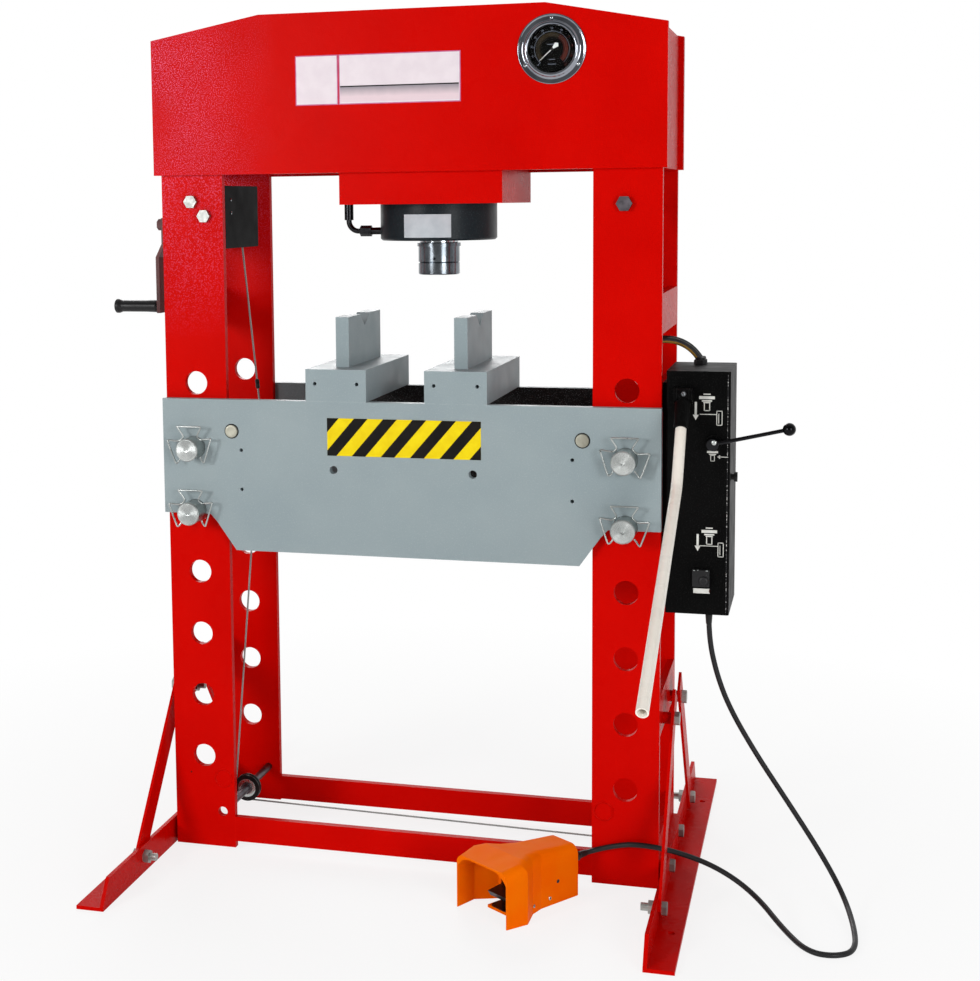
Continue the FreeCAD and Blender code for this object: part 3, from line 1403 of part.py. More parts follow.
def hydraulic_hoses():
    """Two hoses up the right column: one to the barrel, one behind it to the return pipe."""
    high = value("head_bottom + hose_head_rise")
    low = high - value("hose_drop")
    pipe_x = value("pipe_x")
    behind = value(FACE + " - hose_wall")
    feed = hose_start("hose_front_back", "-hose_front_off", high) + [
        V(value("hose_front_turn"), 0, high), V(value("cylinder_x + barrel_radius + seat_gap"), 0, high)]
    back = hose_start("hose_rear_back", "hose_rear_off", low) + [
        V(value("hose_rear_turn"), behind, low), V(pipe_x, behind, low), V(pipe_x, 0, low),
        V(pipe_x, 0, value("pipe_top"))]
    hoses = []
    for place_back, spots in (("hose_front_back", feed), ("hose_rear_back", back)):
        radii = [value("hose_sweep")] + [value("hose_bend")] * (len(spots) - 3)
        hose = feature(tube(route(spots, radii), value("hose_radius")))
        union = rod(
            "hose_union_radius", "hose_union", "box_left + hose_in", "box_front + " + place_back, "box_top")
        hoses.append(fuse(hose, union))
    node("hydraulic_hoses", group(*hoses))


# ---- foot pedal ----

PEDAL_TURN = FreeCAD.Rotation(V(0, 0, 1), value("pedal_angle"))


def pedal_spot(x, y, z):
    """A point of the pedal, given in its own frame, in the press's frame."""
    return PEDAL_TURN.multVec(point(x, y, z)) + point("pedal_x", "pedal_y", "0")


def pedal_plan(inset):
    """The pedal's outline seen from above, inset by a rule."""
    side = [
        ("0", "pedal_front_half"), ("pedal_flare_x", "pedal_flare_half"), ("pedal_neck_x", "pedal_neck_half"),
        ("pedal_body_x", "pedal_body_half")]
    return [(x, "%s - %s" % (y, inset)) for x, y in side]


def pedal_hood():
    """The hood: a flared mouth that narrows to a long body, hollow from the front."""
    length = "pedal_length"
    left = pedal_plan("0") + [(length, "pedal_body_half")]
    right = [(x, "-(%s)" % y) for x, y in reversed(left)]
    shell = padded("XY_Plane", "pedal_ridge_top", right + left)
    over = "pedal_ridge_top + pedal_wall"
    roof = new_sketch(shell, "XZ_Plane")
    outline(roof, [
        ("-pedal_wall", over), ("-pedal_wall", "pedal_front_top"), ("pedal_ridge_x", "pedal_ridge_top"),
        (length + " + pedal_wall", "pedal_back_top"), (length + " + pedal_wall", over)])
    slope = shell.newObject("PartDesign::Pocket", "slope")
    slope.Profile = roof
    slope.Type = "ThroughAll"
    slope.Midplane = True
    shell.Tip = slope
    doc.recompute()
    edges = ["Edge%d" % (i + 1) for i, edge in enumerate(slope.Shape.Edges) if is_roof_side(edge)]
    rounded = shell.newObject("PartDesign::Fillet", "rounded")
    rounded.Base = (slope, edges)
    rounded.setExpression("Radius", spell("pedal_round"))
    shell.Tip = rounded
    cavity = padded("XY_Plane", "pedal_cavity_top - pedal_floor", [
        ("0", "-(pedal_body_half - pedal_wall)"), ("pedal_cavity", "-(pedal_body_half - pedal_wall)"),
        ("pedal_cavity", "pedal_body_half - pedal_wall"), ("0", "pedal_body_half - pedal_wall")])
    place(cavity, 0, 0, "pedal_floor")
    mouth_left = pedal_plan("pedal_wall")[:-1]
    mouth_left[0] = ("-pedal_wall", mouth_left[0][1])
    mouth_right = [(x, "-(%s)" % y) for x, y in reversed(mouth_left)]
    mouth = padded("XY_Plane", "pedal_front_top - pedal_wall", mouth_right + mouth_left)
    opening = common(mouth, pedal_arch())
    pin_hole = rod("treadle_pin + running_gap", "2 * pedal_body_half", "treadle_hinge_x", "-pedal_body_half",
                   "treadle_hinge_z", ALONG_Y)
    tongue = block(
        ("pedal_tongue_from", "pedal_body_x"), ("-treadle_half", "treadle_half"), ("0", "pedal_tongue"))
    hood = fuse(cut(shell, cavity, opening, pin_hole), tongue)
    node("pedal_hood", place(hood, "pedal_x", "pedal_y", 0, PEDAL_TURN))


def pedal_arch():
    """The rounded top of the hood's opening, as a long block with its upper edges rounded."""
    half = "(pedal_flare_half - pedal_wall)"
    top = "(pedal_front_top - pedal_wall)"
    x = ("-2 * pedal_wall", "pedal_body_x")
    long = "(pedal_body_x + 2 * pedal_wall)"
    lower = block(x, ("-" + half, half), ("0", top + " - pedal_arch"))
    upper = block(x, ("pedal_arch - " + half, half + " - pedal_arch"), ("0", top))
    corners = [
        rod("pedal_arch", long, x[0], "%d * (%s - pedal_arch)" % (side, half), top + " - pedal_arch", ALONG_X)
        for side in (-1, 1)]
    return fuse(lower, upper, *corners)


def is_roof_side(edge):
    """Whether an edge runs along the roof's left or right side."""
    high = min(vertex.Z for vertex in edge.Vertexes) > value("pedal_back_top - seat_gap")
    wide = min(abs(vertex.Y) for vertex in edge.Vertexes) > value("pedal_body_half - seat_gap")
    crosses = edge.Vertexes[0].Y * edge.Vertexes[-1].Y < 0
    return high and wide and not crosses


def pedal_treadle():
    """The deep treadle on its pin, its top falling towards the opening."""
    foot = "(treadle_fall + treadle_nose)"
    plate = padded("XZ_Plane", "2 * treadle_half", [
        ("-treadle_length", "-treadle_fall"), ("treadle_lean - treadle_length", "-" + foot),
        ("-treadle_root", "-" + foot), ("treadle_heel", "-treadle_pin"), ("treadle_heel", "treadle_pin"),
        ("0", "treadle_crown")])
    at = ("treadle_hinge_x", "treadle_half", "treadle_hinge_z")
    place(plate, *at)
    axle = rod("treadle_pin", "2 * pedal_body_half", at[0], "-pedal_body_half", at[2], ALONG_Y)
    node("pedal_treadle", place(fuse(plate, axle), "pedal_x", "pedal_y", 0, PEDAL_TURN))


# ---- cable ----

def cable_points():
    """The free cable from the box's gland, down, round on the floor and back to the pedal."""
    start = point("box_gland_x", "box_gland_y", "box_bottom - gland_length")
    end = pedal_spot("pedal_length + gland_length", "pedal_gland_side", "pedal_gland_z")
    under = start - V(0, 0, value("cable_start"))
    behind = end + PEDAL_TURN.multVec(V(value("cable_finish"), 0, 0))
    free = [
        (650, -100, 460), (678, -100, 386), (733, -100, 292), (802, -101, 190), (868, -108, 92),
        (912, -146, 27), (934, -262, 8), (936, -364, 6), (899, -397.5, 6), (849, -391.5, 6),
        (805, -325, 11), (738, -210, 37), (661, -173, 70), (573, -177, 98), (490, -175, 104),
        (445, -171.5, 93), (416, -171.5, 84)]
    return [start, under] + [V(*spot) for spot in free] + [behind, end]


def pedal_cable():
    """The cable's tube, its radii printed."""
    spots = cable_points()
    for spot, bend, reach in bends_of(spots):
        print("cable bend at (%.0f, %.0f, %.0f): radius %.0f" % (*spot, bend))
    node("pedal_cable", feature(tube(route(spots), value("cable_radius"))))


def cable_glands():
    """The glands at the box's underside and the pedal's back."""
    size = ("cable_gland_radius", "gland_length")
    box_end = rod(*size, "box_gland_x", "box_gland_y", "box_bottom - gland_length")
    spot = pedal_spot("pedal_length", "pedal_gland_side", "pedal_gland_z")
    out = PEDAL_TURN.multVec(V(1, 0, 0))
    pedal_end = rod(*size, spot.x, spot.y, spot.z, FreeCAD.Rotation(V(0, 0, 1), out))
    node("cable_glands", group(box_end, pedal_end))


def build():
    """Every piece of the press."""
    column_plates()
    column_spacers("left_column_spacers", -1, [])
    column_spacers("right_column_spacers", 1, box_bars())
    head_plates()
    bolster_block()
    cylinder_barrel()
    cylinder_gland()
    ram()
    return_pipe()
    gauge()
    gauge_needle()
    bed_plate("bed_front_plate", "-" + FACE)
    bed_plate("bed_rear_plate", BED_FACE)
    bed_cross_plates()
    bed_lift_bars()
    v_block("left_v_block", "left_block_x")
    v_block("right_v_block", "right_block_x")
    for side, hand in ((-1, "left"), (1, "right")):
        for height, level in (("bed_hole_z", "upper"), (BED_SADDLE, "lower")):
            bed_pin("%s_%s_pin" % (hand, level), side, height)
            pin_clip("%s_%s_clip" % (hand, level), side, height)
    winch_housing()
    winch_drum()
    winch_crank()
    crank_grip()
    winch_wire()
    lift_wire()
    sheave("lower_left_sheave", "left_sheave_x", "left_sheave_z", "sheave_groove")
    sheave("lower_right_sheave", "right_sheave_x", "right_sheave_z", "sheave_groove")
    sheave("upper_right_sheave", "top_sheave_x", "top_sheave_z", "top_sheave_groove")
    sheave_axles()
    tie_bars()
    foot("left_foot", -1)
    foot("right_foot", 1)
    foot_spacers()
    foot_braces()
    frame_bolts()
    pump_box()
    box_fittings()
    valve_lever()
    pump_handle()
    hydraulic_hoses()
    pedal_hood()
    pedal_treadle()
    pedal_cable()
    cable_glands()


def write():
    """Check every object, then write each piece to its own file."""
    doc.recompute()
    for thing in doc.Objects:
        if "Invalid" in thing.State or "Error" in thing.State:
            raise RuntimeError("%s (%s) failed: %s" % (thing.Name, thing.Label, thing.State))
    for thing in nodes:
        if thing.Shape.isNull() or not thing.Shape.isValid():
            raise RuntimeError("%s has no valid shape" % thing.Label)
    os.makedirs("parts", exist_ok=True)
    for thing in nodes:
        thing.Shape.exportStep("parts/%s.step" % thing.Label)
        print("%-26s %2d solids  %9.0f mm3" % (thing.Label, len(thing.Shape.Solids), thing.Shape.Volume))


build()
write()
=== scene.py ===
import json
import math
import bmesh
import bpy
from mathutils import Matrix, Vector

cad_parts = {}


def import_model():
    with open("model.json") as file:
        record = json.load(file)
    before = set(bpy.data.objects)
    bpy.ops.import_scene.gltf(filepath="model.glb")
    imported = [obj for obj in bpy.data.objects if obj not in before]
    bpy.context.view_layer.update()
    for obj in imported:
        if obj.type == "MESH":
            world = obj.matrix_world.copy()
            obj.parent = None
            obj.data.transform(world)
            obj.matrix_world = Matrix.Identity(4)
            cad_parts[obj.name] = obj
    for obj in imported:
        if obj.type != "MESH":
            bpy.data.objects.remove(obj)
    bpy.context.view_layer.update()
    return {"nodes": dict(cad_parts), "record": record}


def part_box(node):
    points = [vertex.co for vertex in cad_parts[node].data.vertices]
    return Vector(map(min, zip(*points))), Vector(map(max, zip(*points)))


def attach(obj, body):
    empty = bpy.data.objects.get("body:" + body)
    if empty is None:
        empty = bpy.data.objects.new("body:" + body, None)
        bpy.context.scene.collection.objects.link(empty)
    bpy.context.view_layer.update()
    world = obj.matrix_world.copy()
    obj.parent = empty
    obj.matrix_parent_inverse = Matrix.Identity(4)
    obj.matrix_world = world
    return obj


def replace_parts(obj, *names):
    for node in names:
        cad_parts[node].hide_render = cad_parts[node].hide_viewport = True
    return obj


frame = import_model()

# The looks of a workshop press: metres, +Z up, the front faces -Y.

SCENE = bpy.context.scene
NODES = frame["nodes"]


# ---- camera, at the photograph's place ----

FRAME_SIDE = 981                    # the longer side of the 980 x 981 picture
FOCAL_PIXELS = 1671.716
VIEW_CENTRE = (490.0, 490.5)
AXIS_PIXEL = (372.12, 379.86)       # where the lens axis meets the picture
CAMERA_AT = Vector((0.8884, -3.5636, 1.4405))
YAW, PITCH, ROLL = math.radians(15.7318), math.radians(-6.0291), math.radians(-0.6702)
SENSOR = 36                         # millimetres


def make_camera():
    """The camera, turned by yaw, pitch and roll, with its lens shifted as the photograph's crop is."""
    ahead = Vector((-math.sin(YAW) * math.cos(PITCH), math.cos(YAW) * math.cos(PITCH), math.sin(PITCH)))
    level = Vector((math.cos(YAW), math.sin(YAW), 0))
    up = level.cross(ahead)
    right = level * math.cos(ROLL) + up * math.sin(ROLL)
    top = up * math.cos(ROLL) - level * math.sin(ROLL)
    lens = bpy.data.cameras.new("camera")
    lens.sensor_width = SENSOR
    lens.lens = FOCAL_PIXELS / FRAME_SIDE * SENSOR
    lens.shift_x = (VIEW_CENTRE[0] - AXIS_PIXEL[0]) / FRAME_SIDE
    lens.shift_y = (AXIS_PIXEL[1] - VIEW_CENTRE[1]) / FRAME_SIDE
    camera = bpy.data.objects.new("camera", lens)
    turn = Matrix((right, top, -ahead)).transposed().to_4x4()
    camera.matrix_world = Matrix.Translation(CAMERA_AT) @ turn
    SCENE.collection.objects.link(camera)
    SCENE.camera = camera


# ---- materials ----

COAT_ROUGHNESS = 0.12
NOISE_SPAN = (0.3, 0.7)             # where nearly all of a noise lies
CLOUD_SPAN = (0.35, 0.65)
WEAR_SPAN = (0.35, 0.6)
EDGE_SPAN = (0.98, 0.75)            # how well the rounded normal agrees with the face: on flats, on edges


def tone(red, green, blue):
    """A colour as it shows on a screen, 0 to 255, as linear light."""
    parts = [value / 255 for value in (red, green, blue)]
    return [v / 12.92 if v <= 0.04045 else ((v + 0.055) / 1.055) ** 2.4 for v in parts] + [1.0]


def feed(tree, value, socket):
    """Give a node's socket a value, or a link from another node."""
    if isinstance(value, bpy.types.NodeSocket):
        tree.links.new(value, socket)
    else:
        socket.default_value = value


class Paint:
    """Builds one material's nodes. Every pattern lies in the object's own metres."""

    def __init__(self, name, metallic=0.0, coat=0.0, ior=1.5, specular=0.5):
        self.material = bpy.data.materials.new(name)
        self.material.use_nodes = True
        self.tree = self.material.node_tree
        self.shader = self.tree.nodes["Principled BSDF"]
        self.place = self.node("TexCoord").outputs["Object"]
        for key, value in (("Metallic", metallic), ("Coat Weight", coat), ("Coat Roughness", COAT_ROUGHNESS),
                           ("IOR", ior), ("Specular IOR Level", specular)):
            self.give(key, value)

    def give(self, key, value):
        """Give the shader's input a value or a link."""
        feed(self.tree, value, self.shader.inputs[key])

    def node(self, kind, **values):
        made = self.tree.nodes.new("ShaderNode" + kind)
        for key, value in values.items():
            if hasattr(made, key):
                setattr(made, key, value)
            else:
                made.inputs[key.replace("_", " ")].default_value = value
        return made

    def link(self, source, target):
        self.tree.links.new(source, target)

    def normal(self):
        return self.node("NewGeometry").outputs["Normal"]

    def parts(self, source):
        """The X, Y and Z of a place or a direction."""
        made = self.node("SeparateXYZ")
        self.link(source, made.inputs[0])
        return made.outputs

    def noise(self, scale, detail=3.0):
        texture = self.node("TexNoise", Scale=scale, Detail=detail)
        self.link(self.place, texture.inputs["Vector"])
        return texture.outputs["Fac"]

    def ranged(self, source, low, high, new_low=0.0, new_high=1.0):
        """source, with low to high stretched over new_low to new_high."""
        made = self.node("MapRange")
        for key, value in (("From Min", low), ("From Max", high), ("To Min", new_low), ("To Max", new_high)):
            made.inputs[key].default_value = value
        self.link(source, made.inputs["Value"])
        return made.outputs["Result"]

    def spots(self, scale, detail, span):
        """1 where a noise is over the span and 0 where it is under it."""
        return self.ranged(self.noise(scale, detail), *span)

    def share(self, source, most):
        """source, with its 1 lowered to most."""
        return self.ranged(source, 0, 1, 0, most)

    def mixed(self, share, first, second):
        """first where share is 0, second where it is 1: a tuple of screen tones, a linear list, a socket."""
        made = self.node("Mix", data_type="RGBA")
        for value, place in ((share, 0), (first, 6), (second, 7)):
            feed(self.tree, tone(*value) if isinstance(value, tuple) else value, made.inputs[place])
        return made.outputs[2]

    def reckon(self, kind, operation, *values):
        """What a Math or a VectorMath node makes of sockets or numbers."""
        made = self.node(kind, operation=operation)
        for value, socket in zip(values, made.inputs):
            feed(self.tree, value, socket)
        return made.outputs["Value"]

    def times(self, first, second):
        return self.reckon("Math", "MULTIPLY", first, second)

    def edges(self, width):
        """1 along the edges of the shape and 0 on its flats."""
        rounded = self.node("Bevel", samples=4, Radius=width).outputs["Normal"]
        return self.ranged(self.reckon("VectorMath", "DOT_PRODUCT", rounded, self.normal()), *EDGE_SPAN)

    def colour(self, source):
        self.give("Base Color", source)

    def rough(self, source, low, high):
        self.give("Roughness", self.ranged(source, *NOISE_SPAN, low, high))

    def bump(self, source, strength, depth):
        made = self.node("Bump", Strength=strength, Distance=depth)
        self.link(source, made.inputs["Height"])
        self.give("Normal", made.outputs["Normal"])


SPECK_RATIO = 1.6                   # specks are this much finer than the orange peel
SPECK_SPAN = (0.56, 0.74)
SPECK_MOST, WORN_MOST, PEEL = 0.3, 0.55, 0.35
COAT_EDGE, METAL_EDGE, MOULD_EDGE = 0.0016, 0.0008, 0.0012
# near black painted shade for the bed plates' inner faces, which lie in shadow between the plates
INNER_SHADE_TONE = (24, 21, 21)


def powder_coat(name, base, dark, edge, rough=(0.3, 0.42), grain=260, coat=0.0, depth=0.0004,
                specular=0.25, inside=None, glint_tone=None):
    """Baked paint: orange peel, faint clouds of tone, pale specks, and thinner paint along the edges;
    optionally painted shade on inner faces and painted glints of highlight.
    """
    paint = Paint(name, coat=coat, specular=specular)
    body = paint.mixed(paint.spots(5, 4, CLOUD_SPAN), base, dark)
    # painted shade: the inner faces are mixed towards near black
    if inside:
        body = paint.mixed(inner_shade(paint, inside), body, INNER_SHADE_TONE)
    # painted highlight: pale pink glints mixed into the colour
    if glint_tone:
        body = paint.mixed(painted_glints(paint), body, glint_tone)
    specks = paint.spots(grain * SPECK_RATIO, 2, SPECK_SPAN)
    body = paint.mixed(paint.share(specks, SPECK_MOST), body, edge)
    worn = paint.times(paint.edges(COAT_EDGE), paint.spots(60, 3, WEAR_SPAN))
    paint.colour(paint.mixed(paint.share(worn, WORN_MOST), body, edge))
    paint.rough(paint.noise(22), *rough)
    paint.bump(paint.noise(grain, 2), PEEL, depth)
    return paint.material


GLINT_HEIGHTS = (1.15, 1.72)        # the painted glints come in between these heights
GLINT_LEFT = (-0.27, -0.50)
GLINT_PATCHES = (0.34, 0.60, 0.25, 1.0)
GLINT_GRAINS = (0.53, 0.62)
GLINT_MOST = 0.55


def painted_glints(paint):
    """Painted glints: fine pale specks of highlight in patches, thicker high up and on the left, where the
    key lamp's gloss falls.
    """
    place = paint.parts(paint.place)
    high = paint.ranged(place["Z"], *GLINT_HEIGHTS)
    left = paint.ranged(place["X"], *GLINT_LEFT)
    thick = paint.times(paint.times(high, left), paint.ranged(paint.noise(4.5), *GLINT_PATCHES))
    return paint.times(paint.share(thick, GLINT_MOST), paint.spots(420, 1, GLINT_GRAINS))


SHADE_TURN = (0.4, 0.6)
SHADE_ACROSS = (-0.27, -0.2, 0.35, 1.0)


def inner_shade(paint, way):
    """Painted shade: 1 on a bed plate's inner face, which looks along Y the given way and lies in shadow
    between the plates; less at its left end.
    """
    turned = paint.ranged(paint.parts(paint.normal())["Y"], *(turn * way for turn in SHADE_TURN))
    return paint.times(turned, paint.ranged(paint.parts(paint.place)["X"], *SHADE_ACROSS))


STAIN_SPAN = (0.4, 0.7)
BRIGHTER, BRIGHT_MOST = 1.25, 0.8
ANISOTROPY = 0.75


def metal(name, base, dark, rough, scale, bump=0.15, turned=False):
    """Bare or plated metal with tool marks, stains and brighter edges; turned ends shine in a bow."""
    paint = Paint(name, metallic=1.0)
    if turned:
        paint.give("Anisotropic", ANISOTROPY)
        paint.give("Tangent", paint.node("Tangent", direction_type="RADIAL", axis="Y").outputs[0])
    marks = paint.noise(scale, 4)
    body = paint.mixed(paint.spots(18, 4, STAIN_SPAN), base, dark)
    bright = [min(1.0, part * BRIGHTER) for part in tone(*base)]
    paint.colour(paint.mixed(paint.share(paint.edges(METAL_EDGE), BRIGHT_MOST), body, bright))
    paint.rough(marks, *rough)
    paint.bump(marks, bump, 0.0003)
    return paint.material


def moulded(name, base, dark, rough, wear=None, grain=420, strength=0.2, specular=0.3):
    """Plastic or rubber with a fine moulded grain, rubbed paler at its edges."""
    paint = Paint(name, specular=specular)
    body = paint.mixed(paint.spots(14, 4, CLOUD_SPAN), base, dark)
    rubbed = paint.times(paint.edges(MOULD_EDGE), paint.spots(90, 2, (0.3, 0.6)))
    paint.colour(paint.mixed(paint.share(rubbed, 0.5), body, wear or base))
    paint.rough(paint.noise(35), *rough)
    paint.bump(paint.noise(grain, 2), strength, 0.0003)
    return paint.material


def film_surface(paint):
    """The satin, faintly uneven surface of a printed film."""
    paint.rough(paint.noise(60, 2), 0.3, 0.45)
    paint.bump(paint.noise(300, 2), 0.08, 0.0002)
    return paint.material


def print_film(name, base, dark, specular=0.1):
    """A thin printed or painted film, faintly dusty."""
    paint = Paint(name, specular=specular)
    paint.colour(paint.mixed(paint.spots(40, 4, CLOUD_SPAN), base, dark))
    return film_surface(paint)


def shaded_film(name, high, top, low, foot):
    """A printed band whose tone runs from top at one height down to foot at another."""
    paint = Paint(name, specular=0.2)
    grain = paint.ranged(paint.noise(60), *NOISE_SPAN, -0.0008, 0.0008)
    level = paint.reckon("Math", "ADD", paint.parts(paint.place)["Z"], grain)
    paint.colour(paint.mixed(paint.ranged(level, low, high), foot, top))
    return film_surface(paint)


def worn_seam(name):
    """A dark folded edge, its paint chipped pale in small specks."""
    paint = Paint(name, specular=0.2)
    specks = paint.spots(330, 3, (0.55, 0.62))
    paint.colour(paint.mixed(specks, (42, 42, 44), (214, 212, 210)))
    paint.rough(specks, 0.4, 0.6)
    paint.bump(specks, 0.3, 0.0002)
    return paint.material


def wire_rope(name, base, dark):
    """Stranded steel wire: slanting strands with dark gaps."""
    paint = Paint(name, metallic=0.9)
    wave = paint.node("TexWave", bands_direction="DIAGONAL", Scale=170.0, Distortion=0.4)
    paint.link(paint.place, wave.inputs["Vector"])
    strands = wave.outputs["Fac"]
    paint.colour(paint.mixed(paint.ranged(strands, 0.1, 0.6), dark, base))
    paint.rough(strands, 0.3, 0.5)
    paint.bump(strands, 0.6, 0.0006)
    return paint.material


STRIPE_WAY = (-0.1, -0.85, -0.5)
STRIPE_MIDDLE, STRIPE_HALF = 0.94, 0.055


def striped_hose(name):
    """A black hose with a golden line along its lower front side."""
    paint = Paint(name, specular=0.3)
    along = paint.reckon("VectorMath", "DOT_PRODUCT", paint.normal(), Vector(STRIPE_WAY).normalized())
    line = paint.reckon("Math", "COMPARE", along, STRIPE_MIDDLE, STRIPE_HALF)
    black = paint.mixed(paint.spots(60, 3, CLOUD_SPAN), (22, 22, 24), (34, 34, 36))
    paint.colour(paint.mixed(line, black, (176, 140, 62)))
    paint.rough(paint.noise(80, 2), 0.35, 0.5)
    paint.bump(paint.noise(500, 2), 0.15, 0.0003)
    return paint.material


def clear_glass(name):
    """Thin clear glass with a faint smear."""
    paint = Paint(name, ior=1.12)
    paint.give("Transmission Weight", 1.0)
    smear = paint.spots(30, 3, (0.4, 0.6))
    paint.colour(paint.mixed(smear, (250, 252, 252), (243, 247, 248)))
    paint.rough(paint.noise(25), 0.0, 0.03)
    return paint.material


def bed_grey(name, inside=None):
    """The bed's grey; inside says which way along Y the inner face looks that is darkened with painted shade.
    """
    return powder_coat(name, (150, 163, 166), (143, 157, 161), (182, 192, 194),
                       rough=(0.42, 0.56), inside=inside)


# the red carries painted glints of highlight, pale pink, high up and on the left
RED = powder_coat("red_paint", (207, 6, 1), (199, 4, 0), (226, 26, 16), rough=(0.25, 0.32),
                  grain=380, depth=0.0009, specular=0.02, glint_tone=(255, 140, 190))
DARK = powder_coat("dark_paint", (28, 36, 41), (19, 25, 29), (80, 88, 92), specular=0.14)
GREY = bed_grey("grey_paint")
# these two carry painted shade on their inner faces
BED_FRONT_PAINT = bed_grey("bed_front_paint", 1)
BED_REAR_PAINT = bed_grey("bed_rear_paint", -1)
BLACK = powder_coat("black_paint", (11, 11, 11), (6, 6, 6), (54, 54, 54), rough=(0.36, 0.48),
                    specular=0.03)
HOUSING = powder_coat("housing_paint", (6, 5, 6), (3, 3, 4), (40, 40, 42), rough=(0.4, 0.52),
                      specular=0.02)
MAROON = powder_coat("crank_paint", (104, 24, 22), (66, 18, 17), (150, 70, 64))
CREAM = powder_coat("cream_paint", (250, 244, 233), (243, 234, 221), (252, 248, 242), grain=90,
                    coat=0.2, rough=(0.22, 0.34))
CHROME = metal("bright_steel", (196, 200, 204), (160, 165, 170), (0.06, 0.18), 60, bump=0.05)
# the ram nose's chrome base is darkened: painted dark reflection of a dim surround
NOSE = metal("chrome_with_painted_dark_reflection", (118, 124, 130), (82, 88, 94), (0.14, 0.24), 60, bump=0.05)
# the rim's chrome base is darkened somewhat: painted dark reflection
RIM = metal("rim_chrome", (150, 154, 162), (116, 120, 128), (0.05, 0.14), 60, bump=0.04)
BOLT = metal("bolt_zinc", (172, 174, 170), (120, 122, 120), (0.42, 0.58), 150)
ZINC = metal("plain_steel", (188, 192, 190), (150, 156, 154), (0.25, 0.45), 150)
TURNED = metal("turned_steel", (196, 199, 197), (160, 165, 164), (0.2, 0.36), 260, turned=True)
LEVER = metal("lever_steel", (44, 44, 46), (28, 28, 30), (0.16, 0.3), 120)
PALE_STEEL = metal("pale_steel", (172, 170, 156), (128, 124, 110), (0.4, 0.6), 200)
AXLE = metal("axle_steel", (112, 106, 112), (70, 66, 70), (0.3, 0.5), 120)
ROPE = wire_rope("wire_rope", (178, 180, 178), (64, 64, 62))
CASE = moulded("black_case", (24, 24, 25), (17, 17, 18), (0.45, 0.6), (70, 70, 70))
PLASTIC = moulded("black_plastic", (22, 22, 24), (14, 14, 15), (0.3, 0.46), (80, 80, 80))
WHITE = moulded("white_plastic", (236, 236, 232), (224, 224, 220), (0.4, 0.5), grain=200,
                strength=0.05)
RUBBER = moulded("cable_rubber", (18, 18, 20), (26, 26, 28), (0.42, 0.58), (52, 52, 52),
                 grain=300)
HOSE = striped_hose("striped_hose")
ORANGE = moulded("orange_plastic", (255, 119, 2), (255, 110, 0), (0.34, 0.48), (255, 146, 44),
                 grain=260, strength=0.35, specular=0.01)
GLASS = clear_glass("gauge_glass")
YELLOW = print_film("yellow_film", (244, 218, 18), (236, 206, 14))
# black print, also used as painted shade in the gaps round the lift bars
INK_AND_SHADE = print_film("black_film_and_shade", (18, 16, 14), (26, 23, 21))
PALE = print_film("pale_film", (234, 223, 228), (229, 217, 223))
BORDER = print_film("mauve_film", (206, 120, 160), (190, 104, 146))
FADED = shaded_film("faded_film", 1.681, (150, 142, 150), 1.662, (228, 206, 212))
SILVER = print_film("grey_film", (192, 198, 203), (180, 187, 193))
MARKS = print_film("white_film", (226, 226, 220), (200, 200, 194))
DIAL_BLACK = print_film("dial_black_film", (5, 5, 4), (3, 3, 3), specular=0.02)
DIAL_INK = print_film("dim_white_film", (150, 154, 170), (116, 120, 138))
BRASS_INK = print_film("brown_film", (48, 36, 16), (36, 26, 11))
RED_INK = print_film("red_film", (84, 28, 18), (66, 22, 14))
SEAM = worn_seam("worn_seam")

SLOT_PAINTS = {
    "red_paint": RED, "dark_paint": DARK, "grey_paint": GREY, "bright_steel": CHROME, "plain_steel": ZINC,
    "black_case": CASE, "gauge_glass": GLASS, "white_plastic": WHITE, "black_plastic": PLASTIC,
    "black_paint": BLACK, "lever_steel": LEVER, "cream_paint": CREAM, "hose_rubber": HOSE,
    "orange_plastic": ORANGE}
NODE_PAINTS = {
    "winch_wire": ROPE, "lift_wire": ROPE, "return_pipe": LEVER, "ram_nose": NOSE, "pump_socket": BLACK,
    "bed_front_plate": BED_FRONT_PAINT, "bed_rear_plate": BED_REAR_PAINT, "winch_housing": HOUSING,
    "winch_crank": MAROON, "frame_bolts": BOLT, "sheave_axles": AXLE, "bed_lift_bars": ZINC}


def dress_nodes():
    """Give every node of the frame its finish."""
    for part in frame["record"]["subparts"]:
        thing = NODES[part["node"]]
        finish = NODE_PAINTS.get(part["node"], SLOT_PAINTS[part["material_slot"]])
        for holder in thing.material_slots:
            holder.material = finish


# ---- mesh tools ----

SIDES = {
    "front": ((1, 0, 0), (0, 0, 1), (0, -1, 0)), "back": ((-1, 0, 0), (0, 0, 1), (0, 1, 0)),
    "right": ((0, 1, 0), (0, 0, 1), (1, 0, 0)), "top": ((1, 0, 0), (0, 1, 0), (0, 0, 1)),
    "under": ((1, 0, 0), (0, -1, 0), (0, 0, -1))}
ON_AXIS = 1e-7                      # a lathe's radius under this is a point
STRAP_STEPS = 24
HEX_BODY, HEX_CROWN = 0.86, 0.9     # of a hexagon's depth, and of its width on top


def polar(radius, angle, *height):
    """The place at this radius and angle."""
    return (radius * math.cos(angle), radius * math.sin(angle), *height)


def facing(side, x, y, z):
    """A place on a face, its own +Z pointing out of it; side is one of SIDES."""
    return Matrix.Translation((x, y, z)) @ Matrix(SIDES[side]).transposed().to_4x4()


def seat(node, start, way):
    """Where a line from start meets a node's surface: a spot whose own +Z points out of it."""
    hit, place, normal, _ = NODES[node].ray_cast(Vector(start), Vector(way).normalized())
    if not hit:
        raise ValueError("nothing of %s lies ahead of %s" % (node, start))
    return Matrix.Translation(place) @ Vector((0, 0, 1)).rotation_difference(normal).to_matrix().to_4x4()


